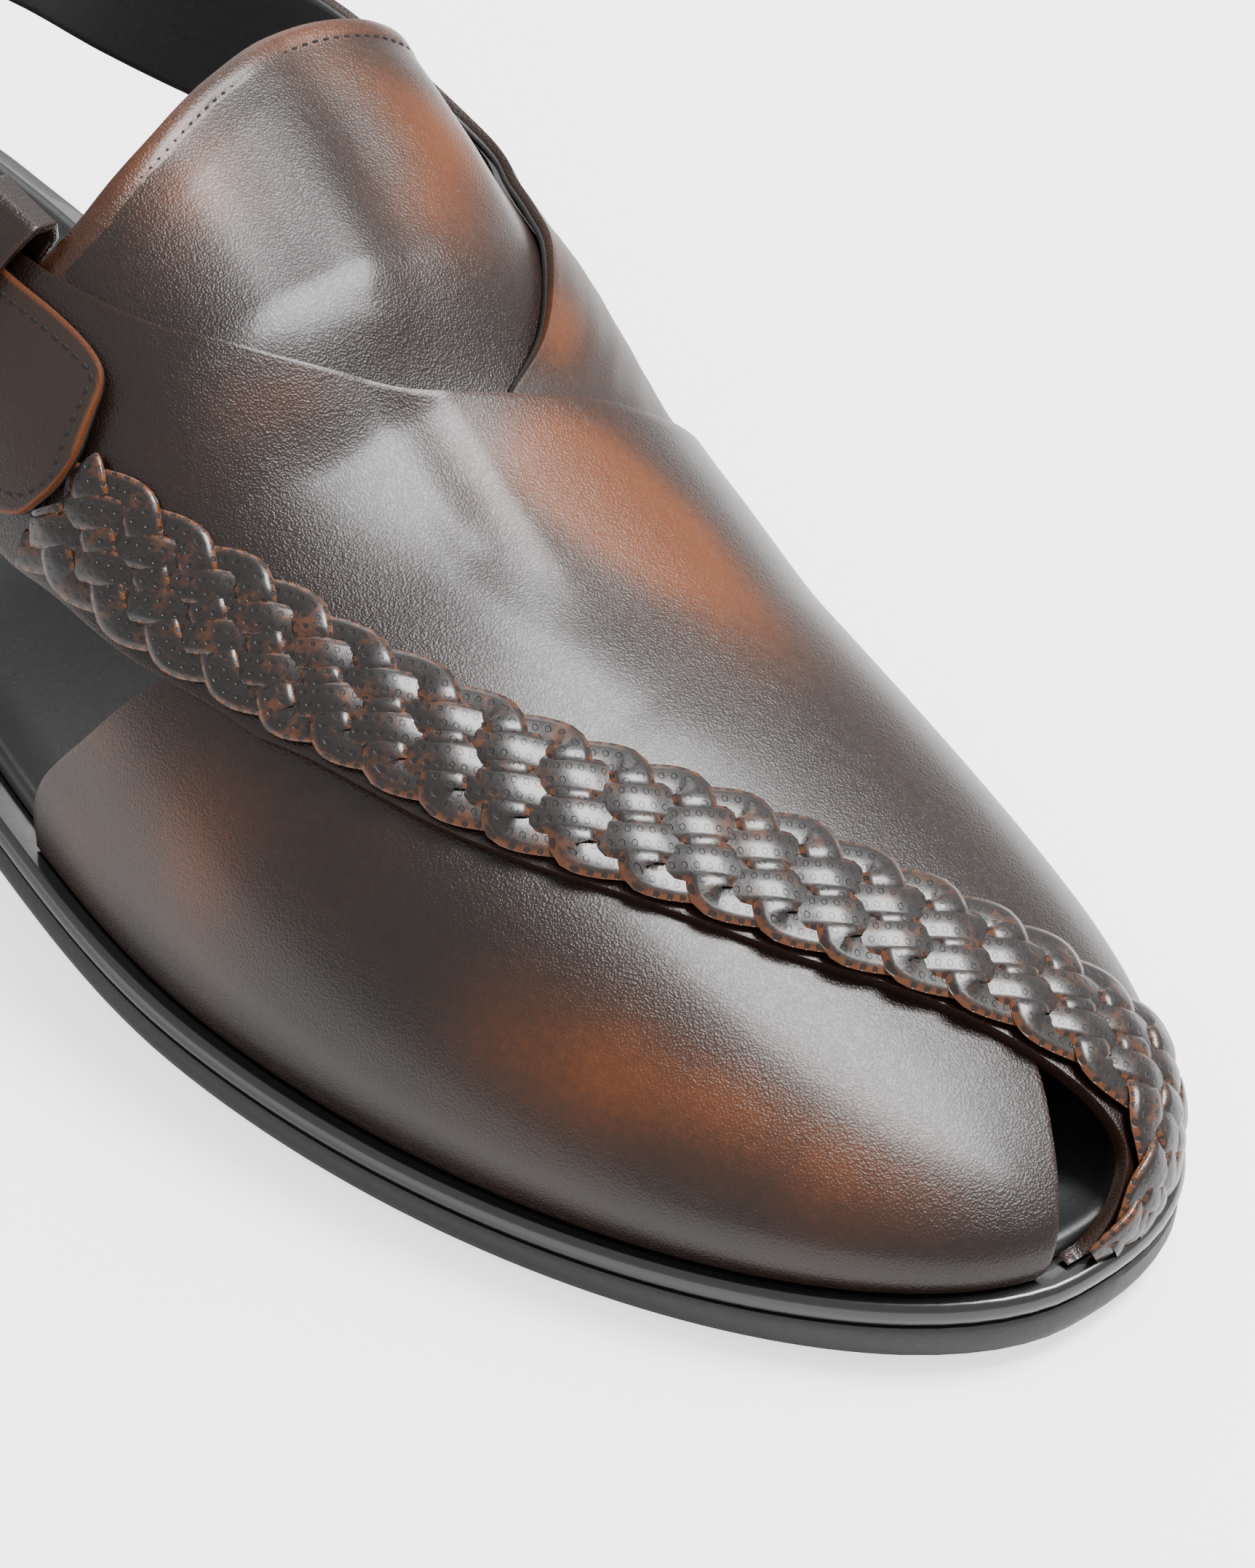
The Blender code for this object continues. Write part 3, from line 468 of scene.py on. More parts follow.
def grainGroup():
    # pebbled leather: puts out a height, a fine mottle and larger clouds
    group = bpy.data.node_groups.new("leatherGrain", "ShaderNodeTree")
    for socketName, way, kind in (("Vector", "INPUT", "Vector"), ("Pebble Size", "INPUT", "Float"),
                                  ("Height", "OUTPUT", "Float"), ("Mottle", "OUTPUT", "Float"),
                                  ("Clouds", "OUTPUT", "Float")):
        group.interface.new_socket(name=socketName, in_out=way, socket_type="NodeSocket" + kind)
    into, out = group.nodes.new("NodeGroupInput"), group.nodes.new("NodeGroupOutput")
    vector = into.outputs["Vector"]
    push = group.nodes.new("ShaderNodeVectorMath")
    push.operation = "MULTIPLY_ADD"
    push.inputs[1].default_value = [grainLook["warpDistance"]] * 3
    feed(group, push.inputs[0], noise(group, vector, *grainLook["warp"], colour=True))
    feed(group, push.inputs[2], vector)
    cell = group.nodes.new("ShaderNodeTexVoronoi")
    cell.feature = "SMOOTH_F1"
    fill(group, cell, {"Vector": push.outputs[0], "Scale": into.outputs["Pebble Size"],
                       "Smoothness": grainLook["smoothness"]})
    fine = noise(group, vector, *grainLook["fine"])
    fill(group, out, {
        "Height": mathNode(group, "MULTIPLY_ADD", fine, grainLook["fineShare"], cell.outputs["Distance"]),
        "Mottle": noise(group, vector, *grainLook["mottle"]),
        "Clouds": noise(group, vector, *grainLook["clouds"])})
    return group


grain = grainGroup()


def objectVector(tree):
    return tree.nodes.new("ShaderNodeTexCoord").outputs["Object"]


def attribute(tree, name):
    node = tree.nodes.new("ShaderNodeAttribute")
    node.attribute_name = name
    return node.outputs["Fac"]


def placeGrain(tree, size):
    node = tree.nodes.new("ShaderNodeGroup")
    node.node_tree = grain
    fill(tree, node, {"Pebble Size": size, "Vector": objectVector(tree)})
    return node.outputs


def setBump(tree, shader, height, strength, distance):
    bump = tree.nodes.new("ShaderNodeBump")
    fill(tree, bump, {"Height": height, "Strength": strength, "Distance": distance})
    feed(tree, shader.inputs["Normal"], bump.outputs[0])


def coated(tree, shader, look, colour, rough, height):
    fill(tree, shader, {
        "Base Color": colour, "Roughness": rough, "Specular IOR Level": look["specular"],
        "Coat Weight": look["coat"], "Coat Roughness": look["coatRoughness"]})
    setBump(tree, shader, height, look["bumpStrength"], look["bumpDistance"])


# The raw edge shows from x = rawFrom outwards, and rimWidth is where it fades out
leatherLook = {
    "dark": (0.008, 0.004, 0.003), "middle": (0.028, 0.0095, 0.0035), "tan": (0.115, 0.028, 0.003),
    "rawEdge": (0.03, 0.01, 0.004), "rawFrom": -1.0, "rawOver": 0.01, "rimWidth": (0.0002, 0.0009),
    "edgeRaw": 0.3, "cloudShare": 0.315, "mottleShare": 0.405,
    "middleFrom": (0.26, 0.81), "tanFrom": (0.66, 1.41),
    "roughness": 0.35, "roughVary": 0.16, "specular": 0.26, "coat": 0.26, "coatRoughness": 0.22,
    "pebble": 3000.0, "bumpDistance": 0.00012, "bumpStrength": 0.65,
}


def leather(name, **changes):
    # burnished leather: the piece's own attributes say where the tan shows and how far an edge is
    look = {**leatherLook, **changes}
    made, tree, shader = newMaterial(name)
    fine = placeGrain(tree, look["pebble"])
    varied = mathNode(tree, "MULTIPLY_ADD", fine["Clouds"], look["cloudShare"], attribute(tree, "burnish"))
    varied = mathNode(tree, "MULTIPLY_ADD", fine["Mottle"], look["mottleShare"], varied)
    base = mixColour(tree, ramp(tree, varied, *look["middleFrom"]), look["dark"], look["middle"])
    colour = mixColour(tree, ramp(tree, varied, *look["tanFrom"]), base, look["tan"])
    split = tree.nodes.new("ShaderNodeSeparateXYZ")
    feed(tree, split.inputs[0], objectVector(tree))
    bare = ramp(tree, split.outputs[0], look["rawFrom"], look["rawFrom"] + look["rawOver"])
    rim = mathNode(tree, "SUBTRACT", 1.0, ramp(tree, attribute(tree, "edge"), *look["rimWidth"]))
    rim = mathNode(tree, "MULTIPLY", rim, mathNode(tree, "MULTIPLY", bare, look["edgeRaw"]))
    rough = mathNode(tree, "MULTIPLY_ADD", fine["Mottle"], look["roughVary"],
                     look["roughness"] - 0.5 * look["roughVary"])
    coated(tree, shader, look, mixColour(tree, rim, colour, look["rawEdge"]), rough, fine["Height"])
    return made


plainGrain = {
    "speck": (4.0, 0.6), "broad": (45.0, 3.0, 0.5), "broadShare": 0.6, "speckShare": 0.4,
    "roughVary": 0.2, "bumpStrength": 0.5,
}


def plainMaterial(name, colour, roughness, scale, depth, spread, coat):
    made, tree, shader = newMaterial(name)
    vector = objectVector(tree)
    speck = noise(tree, vector, scale, *plainGrain["speck"])
    broad = noise(tree, vector, *plainGrain["broad"])
    mixed = mathNode(tree, "MULTIPLY", speck, plainGrain["speckShare"])
    mixed = mathNode(tree, "MULTIPLY_ADD", broad, plainGrain["broadShare"], mixed)
    vary = plainGrain["roughVary"]
    rough = mathNode(tree, "MULTIPLY_ADD", speck, vary, roughness - 0.5 * vary)
    low, high = (tuple(c * (1 + way * spread) for c in colour) for way in (-1, 1))
    colour = mixColour(tree, mixed, low, high)
    fill(tree, shader, {"Base Color": colour, "Roughness": rough, "Coat Weight": coat})
    setBump(tree, shader, speck, plainGrain["bumpStrength"], depth)
    return made


wingLeather = leather("wingLeather")
bandLeather = leather("bandLeather")
strapLeather = leather("strapLeather", dark=(0.019, 0.0105, 0.0075), coat=0.15, roughness=0.46,
                       rawEdge=(0.12, 0.033, 0.008), rawFrom=0.025, edgeRaw=0.8)
tongueLeather = leather("tongueLeather", edgeRaw=0.25)

# colour, roughness, scale and depth of the grain, how much the colour varies, and coat
plainLooks = {
    "liningLeather": ((0.005, 0.005, 0.0055), 0.45, 1500.0, 0.00006, 0.35, 0.0),
    "threadBrown": ((0.0035, 0.0022, 0.002), 0.85, 5000.0, 0.00005, 0.35, 0.0),
    "weltBlack": ((0.004, 0.004, 0.0045), 0.24, 600.0, 0.00004, 0.3, 0.3),
    "outsoleBlack": ((0.013, 0.013, 0.014), 0.55, 700.0, 0.00025, 0.4, 0.0),
    "insoleGrey": ((0.013, 0.0135, 0.0135), 0.48, 1300.0, 0.0001, 0.25, 0.0),
}
plain = {name: plainMaterial(name, *look) for name, look in plainLooks.items()}
print("materials made")


# Making of pieces

def addObject(name, data):
    made = bpy.data.objects.new(name, data)
    bpy.context.scene.collection.objects.link(made)
    return made


def meshObject(name, bm, material):
    mesh = bpy.data.meshes.new(name)
    bm.to_mesh(mesh)
    bm.free()
    mesh.materials.append(material)
    return addObject(name, mesh)


def finishPiece(name, bm, material, nodes, sharp=50.0):
    made = meshObject(name, bm, material)
    made.data.shade_smooth()
    made.data.set_sharp_from_angle(angle=math.radians(sharp))
    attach(made, "root")
    if nodes:
        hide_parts(*nodes)
    return made


def finishSheet(name, bm, material, nodes, thick, rounding=0.0004, segments=2):
    made = finishPiece(name, bm, material, nodes)
    solid = made.modifiers.new("wall", "SOLIDIFY")
    solid.thickness = thick
    solid.offset = 1.0
    solid.use_even_offset = True
    bevel = made.modifiers.new("edge", "BEVEL")
    bevel.width = rounding
    bevel.segments = segments
    bevel.limit_method = "ANGLE"
    bevel.angle_limit = math.radians(50)
    return made


creaseEnds = 0.35  # share of a crease's height that is left at its ends
edgeBatch = 2000  # points measured at a time against the free edge


def creaseHeight(p, creases):
    # soft ridges and troughs along straight lines: start, end, width, height, in the frame's metres
    total = 0 * p[..., 0]
    for start, end, width, height in creases:
        a, b = np.array(start), np.array(end)
        run = np.clip(((p - a) @ (b - a)) / np.dot(b - a, b - a), 0, 1)
        away = np.linalg.norm(p - (a + run[..., None] * (b - a)), axis=-1)
        ends = creaseEnds + (1 - creaseEnds) * np.sin(np.pi * np.clip(run, 0.05, 0.95))
        total += height * np.exp(-(away / width) ** 2) * ends
    return total


def spotTotal(p, spots):
    # where the tan shows through: x, y, z, radius and strength, in the frame's metres
    total = 0 * p[..., 0]
    for x, y, z, radius, strength in spots:
        away = np.linalg.norm(p - np.array([x, y, z]), axis=-1)
        total += strength * np.exp(-(away / radius) ** 2)
    return total


def bentSheet(lifted, piece, freeSides, edgeProfile=None, evenT=None):
    # a flat grid bent onto a lifted surface; s runs along its columns and t along its rows
    bm = bmesh.new()
    bmesh.ops.create_grid(bm, x_segments=piece["columns"], y_segments=piece["rows"], size=0.5)
    edgeLayer = bm.verts.layers.float.new("edge")
    tanLayer = bm.verts.layers.float.new("burnish")
    verts = list(bm.verts)
    s = np.round(np.array([v.co.x + 0.5 for v in verts]), 6)
    t = np.round(np.array([v.co.y + 0.5 for v in verts]), 6)
    border = {"low": t < 1e-4, "high": t > 1 - 1e-4, "left": s < 1e-4, "right": s > 1 - 1e-4}
    if evenT is not None:
        t = evenT(t)
    p = lifted(s, t)
    free = np.zeros(len(verts), bool)
    for side in freeSides:
        free |= border[side]
    edge = np.concatenate([np.sqrt(((p[start:start + edgeBatch, None] - p[free]) ** 2).sum(-1)).min(1)
                           for start in range(0, len(verts), edgeBatch)])
    extra = creaseHeight(p - frameShift, piece.get("creases", ()))
    if edgeProfile is not None:
        extra = extra + edgeProfile(edge)
    place = lifted(s, t, extra) - frameShift
    tan = spotTotal(place, piece.get("tan", ()))
    if "hem" in piece:
        strength, width, fade = piece["hem"]
        tan += strength * (1 - blendFrom(edge, width, fade))
    for v, q, e, b in zip(verts, place, edge, tan):
        v.co = q
        v[edgeLayer] = float(e)
        v[tanLayer] = float(b)
    bm.normal_update()
    middle = np.array([0.0, 0.45 * last["shoeLength"] - originY, 0.5 * last["ballHeight"]])
    facing = sum(float(np.dot(np.array(f.calc_center_median()) - middle, np.array(f.normal))) * f.calc_area()
                 for f in bm.faces)
    if facing < 0:
        bmesh.ops.reverse_faces(bm, faces=list(bm.faces))
    return bm


stripRows = 0.25  # part of the cross band's rows of faces that goes to the strip


def bandRows(t):
    above = stripShare + (t - stripRows) / (1 - stripRows) * (1 - stripShare)
    return np.where(t < stripRows, t / stripRows * stripShare, above)


# Outer wing
wing = {
    "columns": 150, "rows": 56, "wall": 0.002,
    "tan": [(0.0383, 0.2012, 0.0309, 0.01, 0.4), (0.0306, 0.2139, 0.0302, 0.01, 0.62),
            (0.0222, 0.2259, 0.0286, 0.009, 0.62), (0.0145, 0.2389, 0.0255, 0.009, 0.62),
            (0.0062, 0.2484, 0.0233, 0.007, 0.35),
            (0.0493, 0.1469, 0.034, 0.013, 0.42), (0.051, 0.156, 0.029, 0.01, 0.35),
            (0.0526, 0.1295, 0.0211, 0.009, 0.42), (0.0499, 0.1291, 0.0386, 0.007, 0.45)],
    "creases": [((0.04, 0.18, 0.04), (0.006, 0.222, 0.034), 0.012, 0.0006)],
}
finishSheet("outerWing", bentSheet(liftedWing, wing, ("left", "right")), wingLeather, ["upper"],
            wing["wall"])
print("wing made")

# Cross band, with its front strip under the plait
crossBand = {
    "columns": 200, "rows": 80, "wall": 0.002,
    "tan": [(-0.0131, 0.1438, 0.065, 0.011, 0.9), (-0.0191, 0.1525, 0.0607, 0.011, 1.0),
            (-0.0233, 0.1632, 0.056, 0.011, 0.8), (-0.026, 0.1758, 0.0508, 0.011, 0.45),
            (0.0143, 0.1249, 0.0766, 0.006, 0.35), (0.0216, 0.1233, 0.0761, 0.006, 0.3)],
    "creases": [((0.0113, 0.131, 0.072), (-0.0013, 0.1815, 0.0511), 0.01, 0.0012),
                ((0.0216, 0.1233, 0.0761), (0.0053, 0.1506, 0.0627), 0.008, -0.0006)],
}
finishSheet("crossBand", bentSheet(liftedBand, crossBand, ("low", "high"), evenT=bandRows), bandLeather,
            ["upper"], crossBand["wall"])
print("cross band made")

# Ankle band, heel strap and strap end: brown outside, black lining inside
strap = {
    "columns": 260, "rows": 22, "leather": 0.0012, "lining": 0.0008,
    "stitchFrom": 0.62, "stitchTip": 0.988, "stitchInset": 0.105, "stitchPitch": 0.002,
    "tan": [(-0.0329, 0.1247, 0.0705, 0.006, 0.7), (-0.0262, 0.1294, 0.07, 0.006, 0.6),
            (-0.0396, 0.1152, 0.0718, 0.006, 0.4)],
}
strapSides = ("low", "high", "right")
finishSheet("strapLining", bentSheet(liftedStrap, strap, strapSides), plain["liningLeather"], ["upper"],
            strap["lining"], 0.00015, 1)


def outerStrap(s, t, extra=0.0):
    return liftedStrap(s, t, strap["lining"] + extra)


finishSheet("heelStrap", bentSheet(outerStrap, strap, strapSides), strapLeather, ["upper"],
            strap["leather"], 0.0003)
print("heel strap made")

# Tongue: padded, with a rolled edge
tongue = {
    "columns": 110, "rows": 90, "wall": 0.0019, "roll": 0.0024, "rollHeight": 0.00025, "pad": 0.00018,
    "tan": [(0.0105, 0.0957, 0.0904, 0.009, 0.75), (0.0028, 0.0904, 0.0937, 0.006, 0.4),
            (-0.0306, 0.0978, 0.083, 0.011, 0.85), (-0.0207, 0.1097, 0.0819, 0.009, 0.6),
            (-0.0193, 0.0832, 0.0955, 0.008, 0.5), (-0.025, 0.089, 0.089, 0.008, 0.3)],
    "hem": (0.35, 0.002, 0.0008),  # strength, width and fade of the tan along the edge
    "creases": [((-0.0107, 0.086, 0.095), (-0.003, 0.119, 0.079), 0.0052, 0.0009),
                ((-0.0185, 0.088, 0.093), (-0.011, 0.118, 0.08), 0.0045, -0.0003)],
    "stitchInset": 0.0025, "stitchPitch": 0.0019, "stitchFrom": 0.035, "stitchOver": 0.93, "padWidth": 0.006,
}
stitch = {"ends": (0.2, 0.8), "length": 0.74, "width": 0.00065, "height": 0.0004}


def stitchRow(name, lifted, path, rise, pitch, nodes):
    # dark stitches at an even pitch along a path of shares on a lifted surface
    u = np.linspace(0, 1, 500)
    s, t = path(u)
    base = lifted(s, t, 0.0)
    top = lifted(s, t, rise)
    run = runLength(top)
    bm = bmesh.new()
    for k in range(int(run[-1] / pitch)):
        at = [np.interp((k + share) * pitch, run, top[:, c]) for share in stitch["ends"] for c in range(3)]
        a, b = np.array(at[:3]), np.array(at[3:])
        n = np.array([np.interp((k + 0.5) * pitch, run, (top - base)[:, c]) for c in range(3)])
        n /= np.linalg.norm(n)
        along = (b - a) / np.linalg.norm(b - a)
        turn = Matrix((along, np.cross(n, along), n)).transposed()
        made = bmesh.ops.create_icosphere(bm, subdivisions=1, radius=0.5)
        size = Vector((stitch["length"] * pitch, stitch["width"], stitch["height"]))
        middle = Vector(0.5 * (a + b) - frameShift)
        for v in made["verts"]:
            v.co = turn @ (v.co * size) + middle
    finishPiece(name, bm, plain["threadBrown"], nodes, 80)


def tongueProfile(edge):
    roll = tongue["rollHeight"] * np.sin(np.pi * np.clip(edge / tongue["roll"], 0, 1)) ** 0.7
    pad = tongue["pad"] * blend((edge - tongue["roll"]) / tongue["padWidth"])
    return roll + pad


tongueBm = bentSheet(liftedTongue, tongue, ("high", "left", "right"), tongueProfile)
tonguePiece = finishSheet("padTongue", tongueBm, tongueLeather, ["tongue"],
                          tongue["wall"], 0.0008, 3)


def insetTongue(s, t, extra=0.0):
    return liftedTongue(s, t, extra + tongueProfile(0 * s + tongue["stitchInset"]))


def tongueStitchPath(u):
    s = tongue["stitchFrom"] + tongue["stitchOver"] * u
    probe = 0.05
    height = np.linalg.norm(liftedTongue(s, 0 * s + 1) - liftedTongue(s, 0 * s + 1 - probe), axis=1) / probe
    return s, 1 - tongue["stitchInset"] / height


stitchRow("tongueStitches", insetTongue, tongueStitchPath, tongue["wall"], tongue["stitchPitch"], None)


def strapStitchPath(u):
    # along the upper edge, round the tip and back along the lower edge
    side = 3 * u
    start, tip, inset = strap["stitchFrom"], strap["stitchTip"], strap["stitchInset"]
    back = tip - (tip - start) * (side - 2)
    s = np.where(side < 1, start + (tip - start) * side, np.where(side < 2, tip, back))
    t = np.where(side < 1, inset, np.where(side < 2, inset + (1 - 2 * inset) * (side - 1), 1 - inset))
    return s, t


stitchRow("strapStitches", liftedStrap, strapStitchPath, strap["lining"] + strap["leather"],
          strap["stitchPitch"], None)
print("tongue and stitches made")

# Plaited strip: strands that cross the strip at two slants, each over one and under one
plait = {
    "strands": 6, "bump": 0.009, "upShare": 0.66, "start": 0.12, "end": 0.996, "thick": 0.0012,
    "width": 0.0056, "crown": 0.0004, "wave": 0.00034, "margin": 0.085, "turn": 0.26,
    "around": 12, "step": 0.0007,
    "low": 0.07, "across": 0.95, "fullWidth": 0.019, "narrow": (0.5, 1.15), "sidePower": 0.8, "topPower": 0.7,
}


def stripPoint(s, t):
    along = plait["start"] + (plait["end"] - plait["start"]) * s
    return liftedBand(along, stripShare * (plait["low"] + plait["across"] * t), wall + gap)


def strandPath(phase, run):
    # share across the strip and height of the strand, for a length run along the strip:
    # six half waves across and six back, flat where it turns
    period = plait["strands"] * plait["bump"]
    turn = (run / period + phase) % 1.0
    up = plait["upShare"]
    count = np.where(turn < up, 6 * turn / up, 12 - 6 * (1 - (turn - up) / (1 - up)))
    column = np.where(count <= 6, count, 12 - count)
    soft = plait["turn"]
    distance = np.minimum(column, 6 - column)
    rounded = np.where(distance < soft * 2, soft + distance ** 2 / (4 * soft), distance)
    column = np.where(column < 3, rounded, 6 - rounded)
    c = count % 12
    height = np.where((c > 1) & (c < 5), np.cos(np.pi * c), 0.0)
    height = np.where((c >= 5) & (c <= 7), np.sin(0.5 * np.pi * (c - 6)), height)
    height = np.where((c > 7) & (c < 11), -np.cos(np.pi * c), height)
    height = np.where((c >= 11) | (c <= 1), np.sin(0.5 * np.pi * (np.where(c <= 1, -c, 12 - c))), height)
    return column / 6, height


def stripLengths():
    s = np.linspace(0, 1, 240)
    return s, runLength(stripPoint(s, 0 * s + 0.5))


def buildPlait(material):
    shares, runs = stripLengths()
    steps = int(runs[-1] / plait["step"])
    run = np.linspace(0, runs[-1], steps)
    s = np.interp(run, runs, shares)
    bm = bmesh.new()
    uv = bm.loops.layers.uv.new("strand")
    for k in range(plait["strands"]):
        across, height = strandPath(k / plait["strands"], run)
        t = plait["margin"] + (1 - 2 * plait["margin"]) * across
        middle, normal = surfaceNormals(stripPoint, s, t)
        middle = middle + normal * (0.5 * plait["thick"] + plait["wave"] * (1 + height))[:, None]
        tangent = np.gradient(middle, axis=0)
        tangent /= np.linalg.norm(tangent, axis=1, keepdims=True)
        side = np.cross(normal, tangent)
        side /= np.linalg.norm(side, axis=1, keepdims=True)
        up = np.cross(tangent, side)
        length = runLength(middle)
        width = stripPoint(s, 0 * s + 1) - stripPoint(s, 0 * s)
        narrow = np.clip(np.linalg.norm(width, axis=1) / plait["fullWidth"], *plait["narrow"])
        rings = []
        for i in range(steps):
            ring = []
            for j in range(plait["around"]):
                a = 2 * math.pi * j / plait["around"]
                ca, sa = math.cos(a), math.sin(a)
                wide = 0.5 * plait["width"] * narrow[i] * math.copysign(abs(ca) ** plait["sidePower"], ca)
                tall = 0.5 * plait["thick"] * math.copysign(abs(sa) ** plait["topPower"], sa)
                if sa > 0:
                    tall += plait["crown"] * sa * (0.5 + 0.5 * height[i])
                ring.append(bm.verts.new(middle[i] + side[i] * wide + up[i] * tall - frameShift))
            rings.append(ring)
        for i in range(steps - 1):
            for j in range(plait["around"]):
                n = (j + 1) % plait["around"]
                face = bm.faces.new((rings[i][j], rings[i + 1][j], rings[i + 1][n], rings[i][n]))
                for loop, (r, q) in zip(face.loops, ((i, j), (i + 1, j), (i + 1, j + 1), (i, j + 1))):
                    loop[uv].uv = (length[r], 0.5 * math.cos(2 * math.pi * q / plait["around"]))
        bm.faces.new(rings[0])
        bm.faces.new(rings[-1][::-1])
    bmesh.ops.recalc_face_normals(bm, faces=list(bm.faces))
    finishPiece("plaitStrip", bm, material, ["braid"], 70)


plaitLook = {
    "dark": (0.006, 0.0033, 0.0028), "orange": (0.105, 0.03, 0.006), "pinholeShade": (0.002, 0.0015, 0.001),
    "roughNoise": (900.0, 4.0, 0.6), "rimVary": 0.3, "rimFrom": (0.3, 0.5), "roughShare": 0.3,
    "wornNoise": (260.0, 4.0, 0.65), "wornFrom": (0.5, 0.72), "wornShare": 0.55,
    "dotSpacing": 0.0016, "dotSize": 0.00042, "dotCore": 0.7, "pinholeShadeShare": 0.85,
    "roughness": 0.34, "specular": 0.35, "coat": 0.3, "coatRoughness": 0.16,
    "bumpStrength": 0.7, "bumpDistance": 0.00025,
}


def plaitMaterial(look):
    made, tree, shader = newMaterial("plaitLeather")
    uv = tree.nodes.new("ShaderNodeUVMap")
    uv.uv_map = "strand"
    split = tree.nodes.new("ShaderNodeSeparateXYZ")
    feed(tree, split.inputs[0], uv.outputs[0])
    along, across = split.outputs[0], split.outputs[1]
    rough = noise(tree, objectVector(tree), *look["roughNoise"])
    shift = mathNode(tree, "MULTIPLY_ADD", rough, look["rimVary"], -0.5 * look["rimVary"])
    rim = ramp(tree, mathNode(tree, "ADD", mathNode(tree, "ABSOLUTE", across), shift), *look["rimFrom"])
    # staggered pinholes: dented by the bump, and darkened towards near black as painted shade inside the
    # holes
    row = mathNode(tree, "MULTIPLY", across, plait["width"])
    row = mathNode(tree, "DIVIDE", row, look["dotSpacing"])
    odd = mathNode(tree, "MULTIPLY", mathNode(tree, "FLOOR", row), 0.5)
    column = mathNode(tree, "ADD", mathNode(tree, "DIVIDE", along, look["dotSpacing"]), odd)
    fx, fy = (mathNode(tree, "SUBTRACT", mathNode(tree, "FRACT", value), 0.5) for value in (column, row))
    away = mathNode(tree, "ADD", mathNode(tree, "MULTIPLY", fx, fx), mathNode(tree, "MULTIPLY", fy, fy))
    size = look["dotSize"] / look["dotSpacing"]
    dot = ramp(tree, mathNode(tree, "SQRT", away), size * look["dotCore"], size)
    dot = mathNode(tree, "SUBTRACT", 1.0, dot)
    worn = ramp(tree, noise(tree, objectVector(tree), *look["wornNoise"]), *look["wornFrom"])
    face = mixColour(tree, mathNode(tree, "MULTIPLY", worn, look["wornShare"]), look["dark"], look["orange"])
    colour = mixColour(tree, rim, face, look["orange"])
    # painted shade: each pinhole is darkened by colour, standing in for the shade inside the hole
    colour = mixColour(tree, mathNode(tree, "MULTIPLY", dot, look["pinholeShadeShare"]), colour, look["pinholeShade"])
    height = mathNode(tree, "SUBTRACT", mathNode(tree, "MULTIPLY", rough, look["roughShare"]), dot)
    coated(tree, shader, look, colour, look["roughness"], height)
    return made


buildPlait(plaitMaterial(plaitLook))
print("plait made")

# Keeper loop
keeper = {
    "wall": 0.0014, "from": 0.59, "length": 0.055, "slant": 2.0, "columns": 96, "rows": 14,
    "loop": [(33.5, 0.4), (41.0, 0.35), (51.5, 0.35), (55.6, 0.9), (56.4, 2.2), (55.0, 3.6), (51.5, 4.05),
             (42.0, 4.05), (33.0, 4.15), (29.4, 3.6), (28.6, 2.2), (29.6, 0.95), (33.5, 0.4)],
}


def keeperSurface(s, t, extra=0.0):
    station = keeper["from"] + keeper["length"] * t
    corner = np.array(keeper["loop"])
    loop = np.stack([np.interp(s, np.linspace(0, 1, len(corner)), corner[:, k]) for k in (0, 1)], -1)
    angle, lift = loop[..., 0] + keeper["slant"] * (t - 0.5), loop[..., 1] * wall - 0.5 * keeper["wall"]
    return ankleSpot(station, angle, lift)


keeperBm = bentSheet(keeperSurface, keeper, ("low", "high"))
bmesh.ops.remove_doubles(keeperBm, verts=list(keeperBm.verts), dist=0.00001)
finishSheet("strapKeeper", keeperBm, bandLeather, ["keeper"], keeper["wall"], 0.0003)
print("keeper made")


# Sole pieces
sole = {
    "fine": 4, "heelRows": 5, "waistRows": 11, "toeRows": 9, "columns": 12,
    "heelTurn": 38, "heelSweep": 52, "toeSweep": 68,
}


def platePlan(row, column, margin):
    # plan of a sole plate: rows run from heel to toe and columns from the inner to the outer side
    side = 2 * column - 1
    outer = side > 0
    heelRows, waistRows, toeRows = (sole[k] * sole["fine"] for k in ("heelRows", "waistRows", "toeRows"))
    if row <= heelRows:
        turn = math.radians(sole["heelTurn"] + sole["heelSweep"] * row / heelRows)
        if row == 0:
            turn = turn * abs(side)
            side = math.copysign(1, side) if side else 0.0
        y = -margin + (last["heelRound"] + margin) * (1 - math.cos(turn))
        return side * (last["heelHalf"] + margin) * math.sin(turn), y
    if row <= heelRows + waistRows:
        y = last["heelRound"] + (ballLine - last["heelRound"]) * (row - heelRows) / waistRows
        half = float(footHalf(outer, max(y, waistLine)))
        if y < waistLine:
            share = float(blend((y - last["heelRound"]) / (waistLine - last["heelRound"])))
            half = last["heelHalf"] + (half - last["heelHalf"]) * share
        return side * (half + margin), y
    turn = math.radians(sole["toeSweep"] * (row - heelRows - waistRows) / toeRows)
    if row == heelRows + waistRows + toeRows:
        turn = math.pi / 2 - (math.pi / 2 - turn) * abs(side)
        side = math.copysign(1, side) if side else 0.0
    n = last["outerToePower"] if outer else last["power"]
    k = (math.cos(turn) ** n + math.sin(turn) ** n) ** (-1 / n)
    y = ballLine + (toeReach + margin) * math.sin(turn) * k
    half = (float(ballHalf(outer)) + margin) * math.cos(turn) * k
    return float(centreLine(y)) + side * half, y


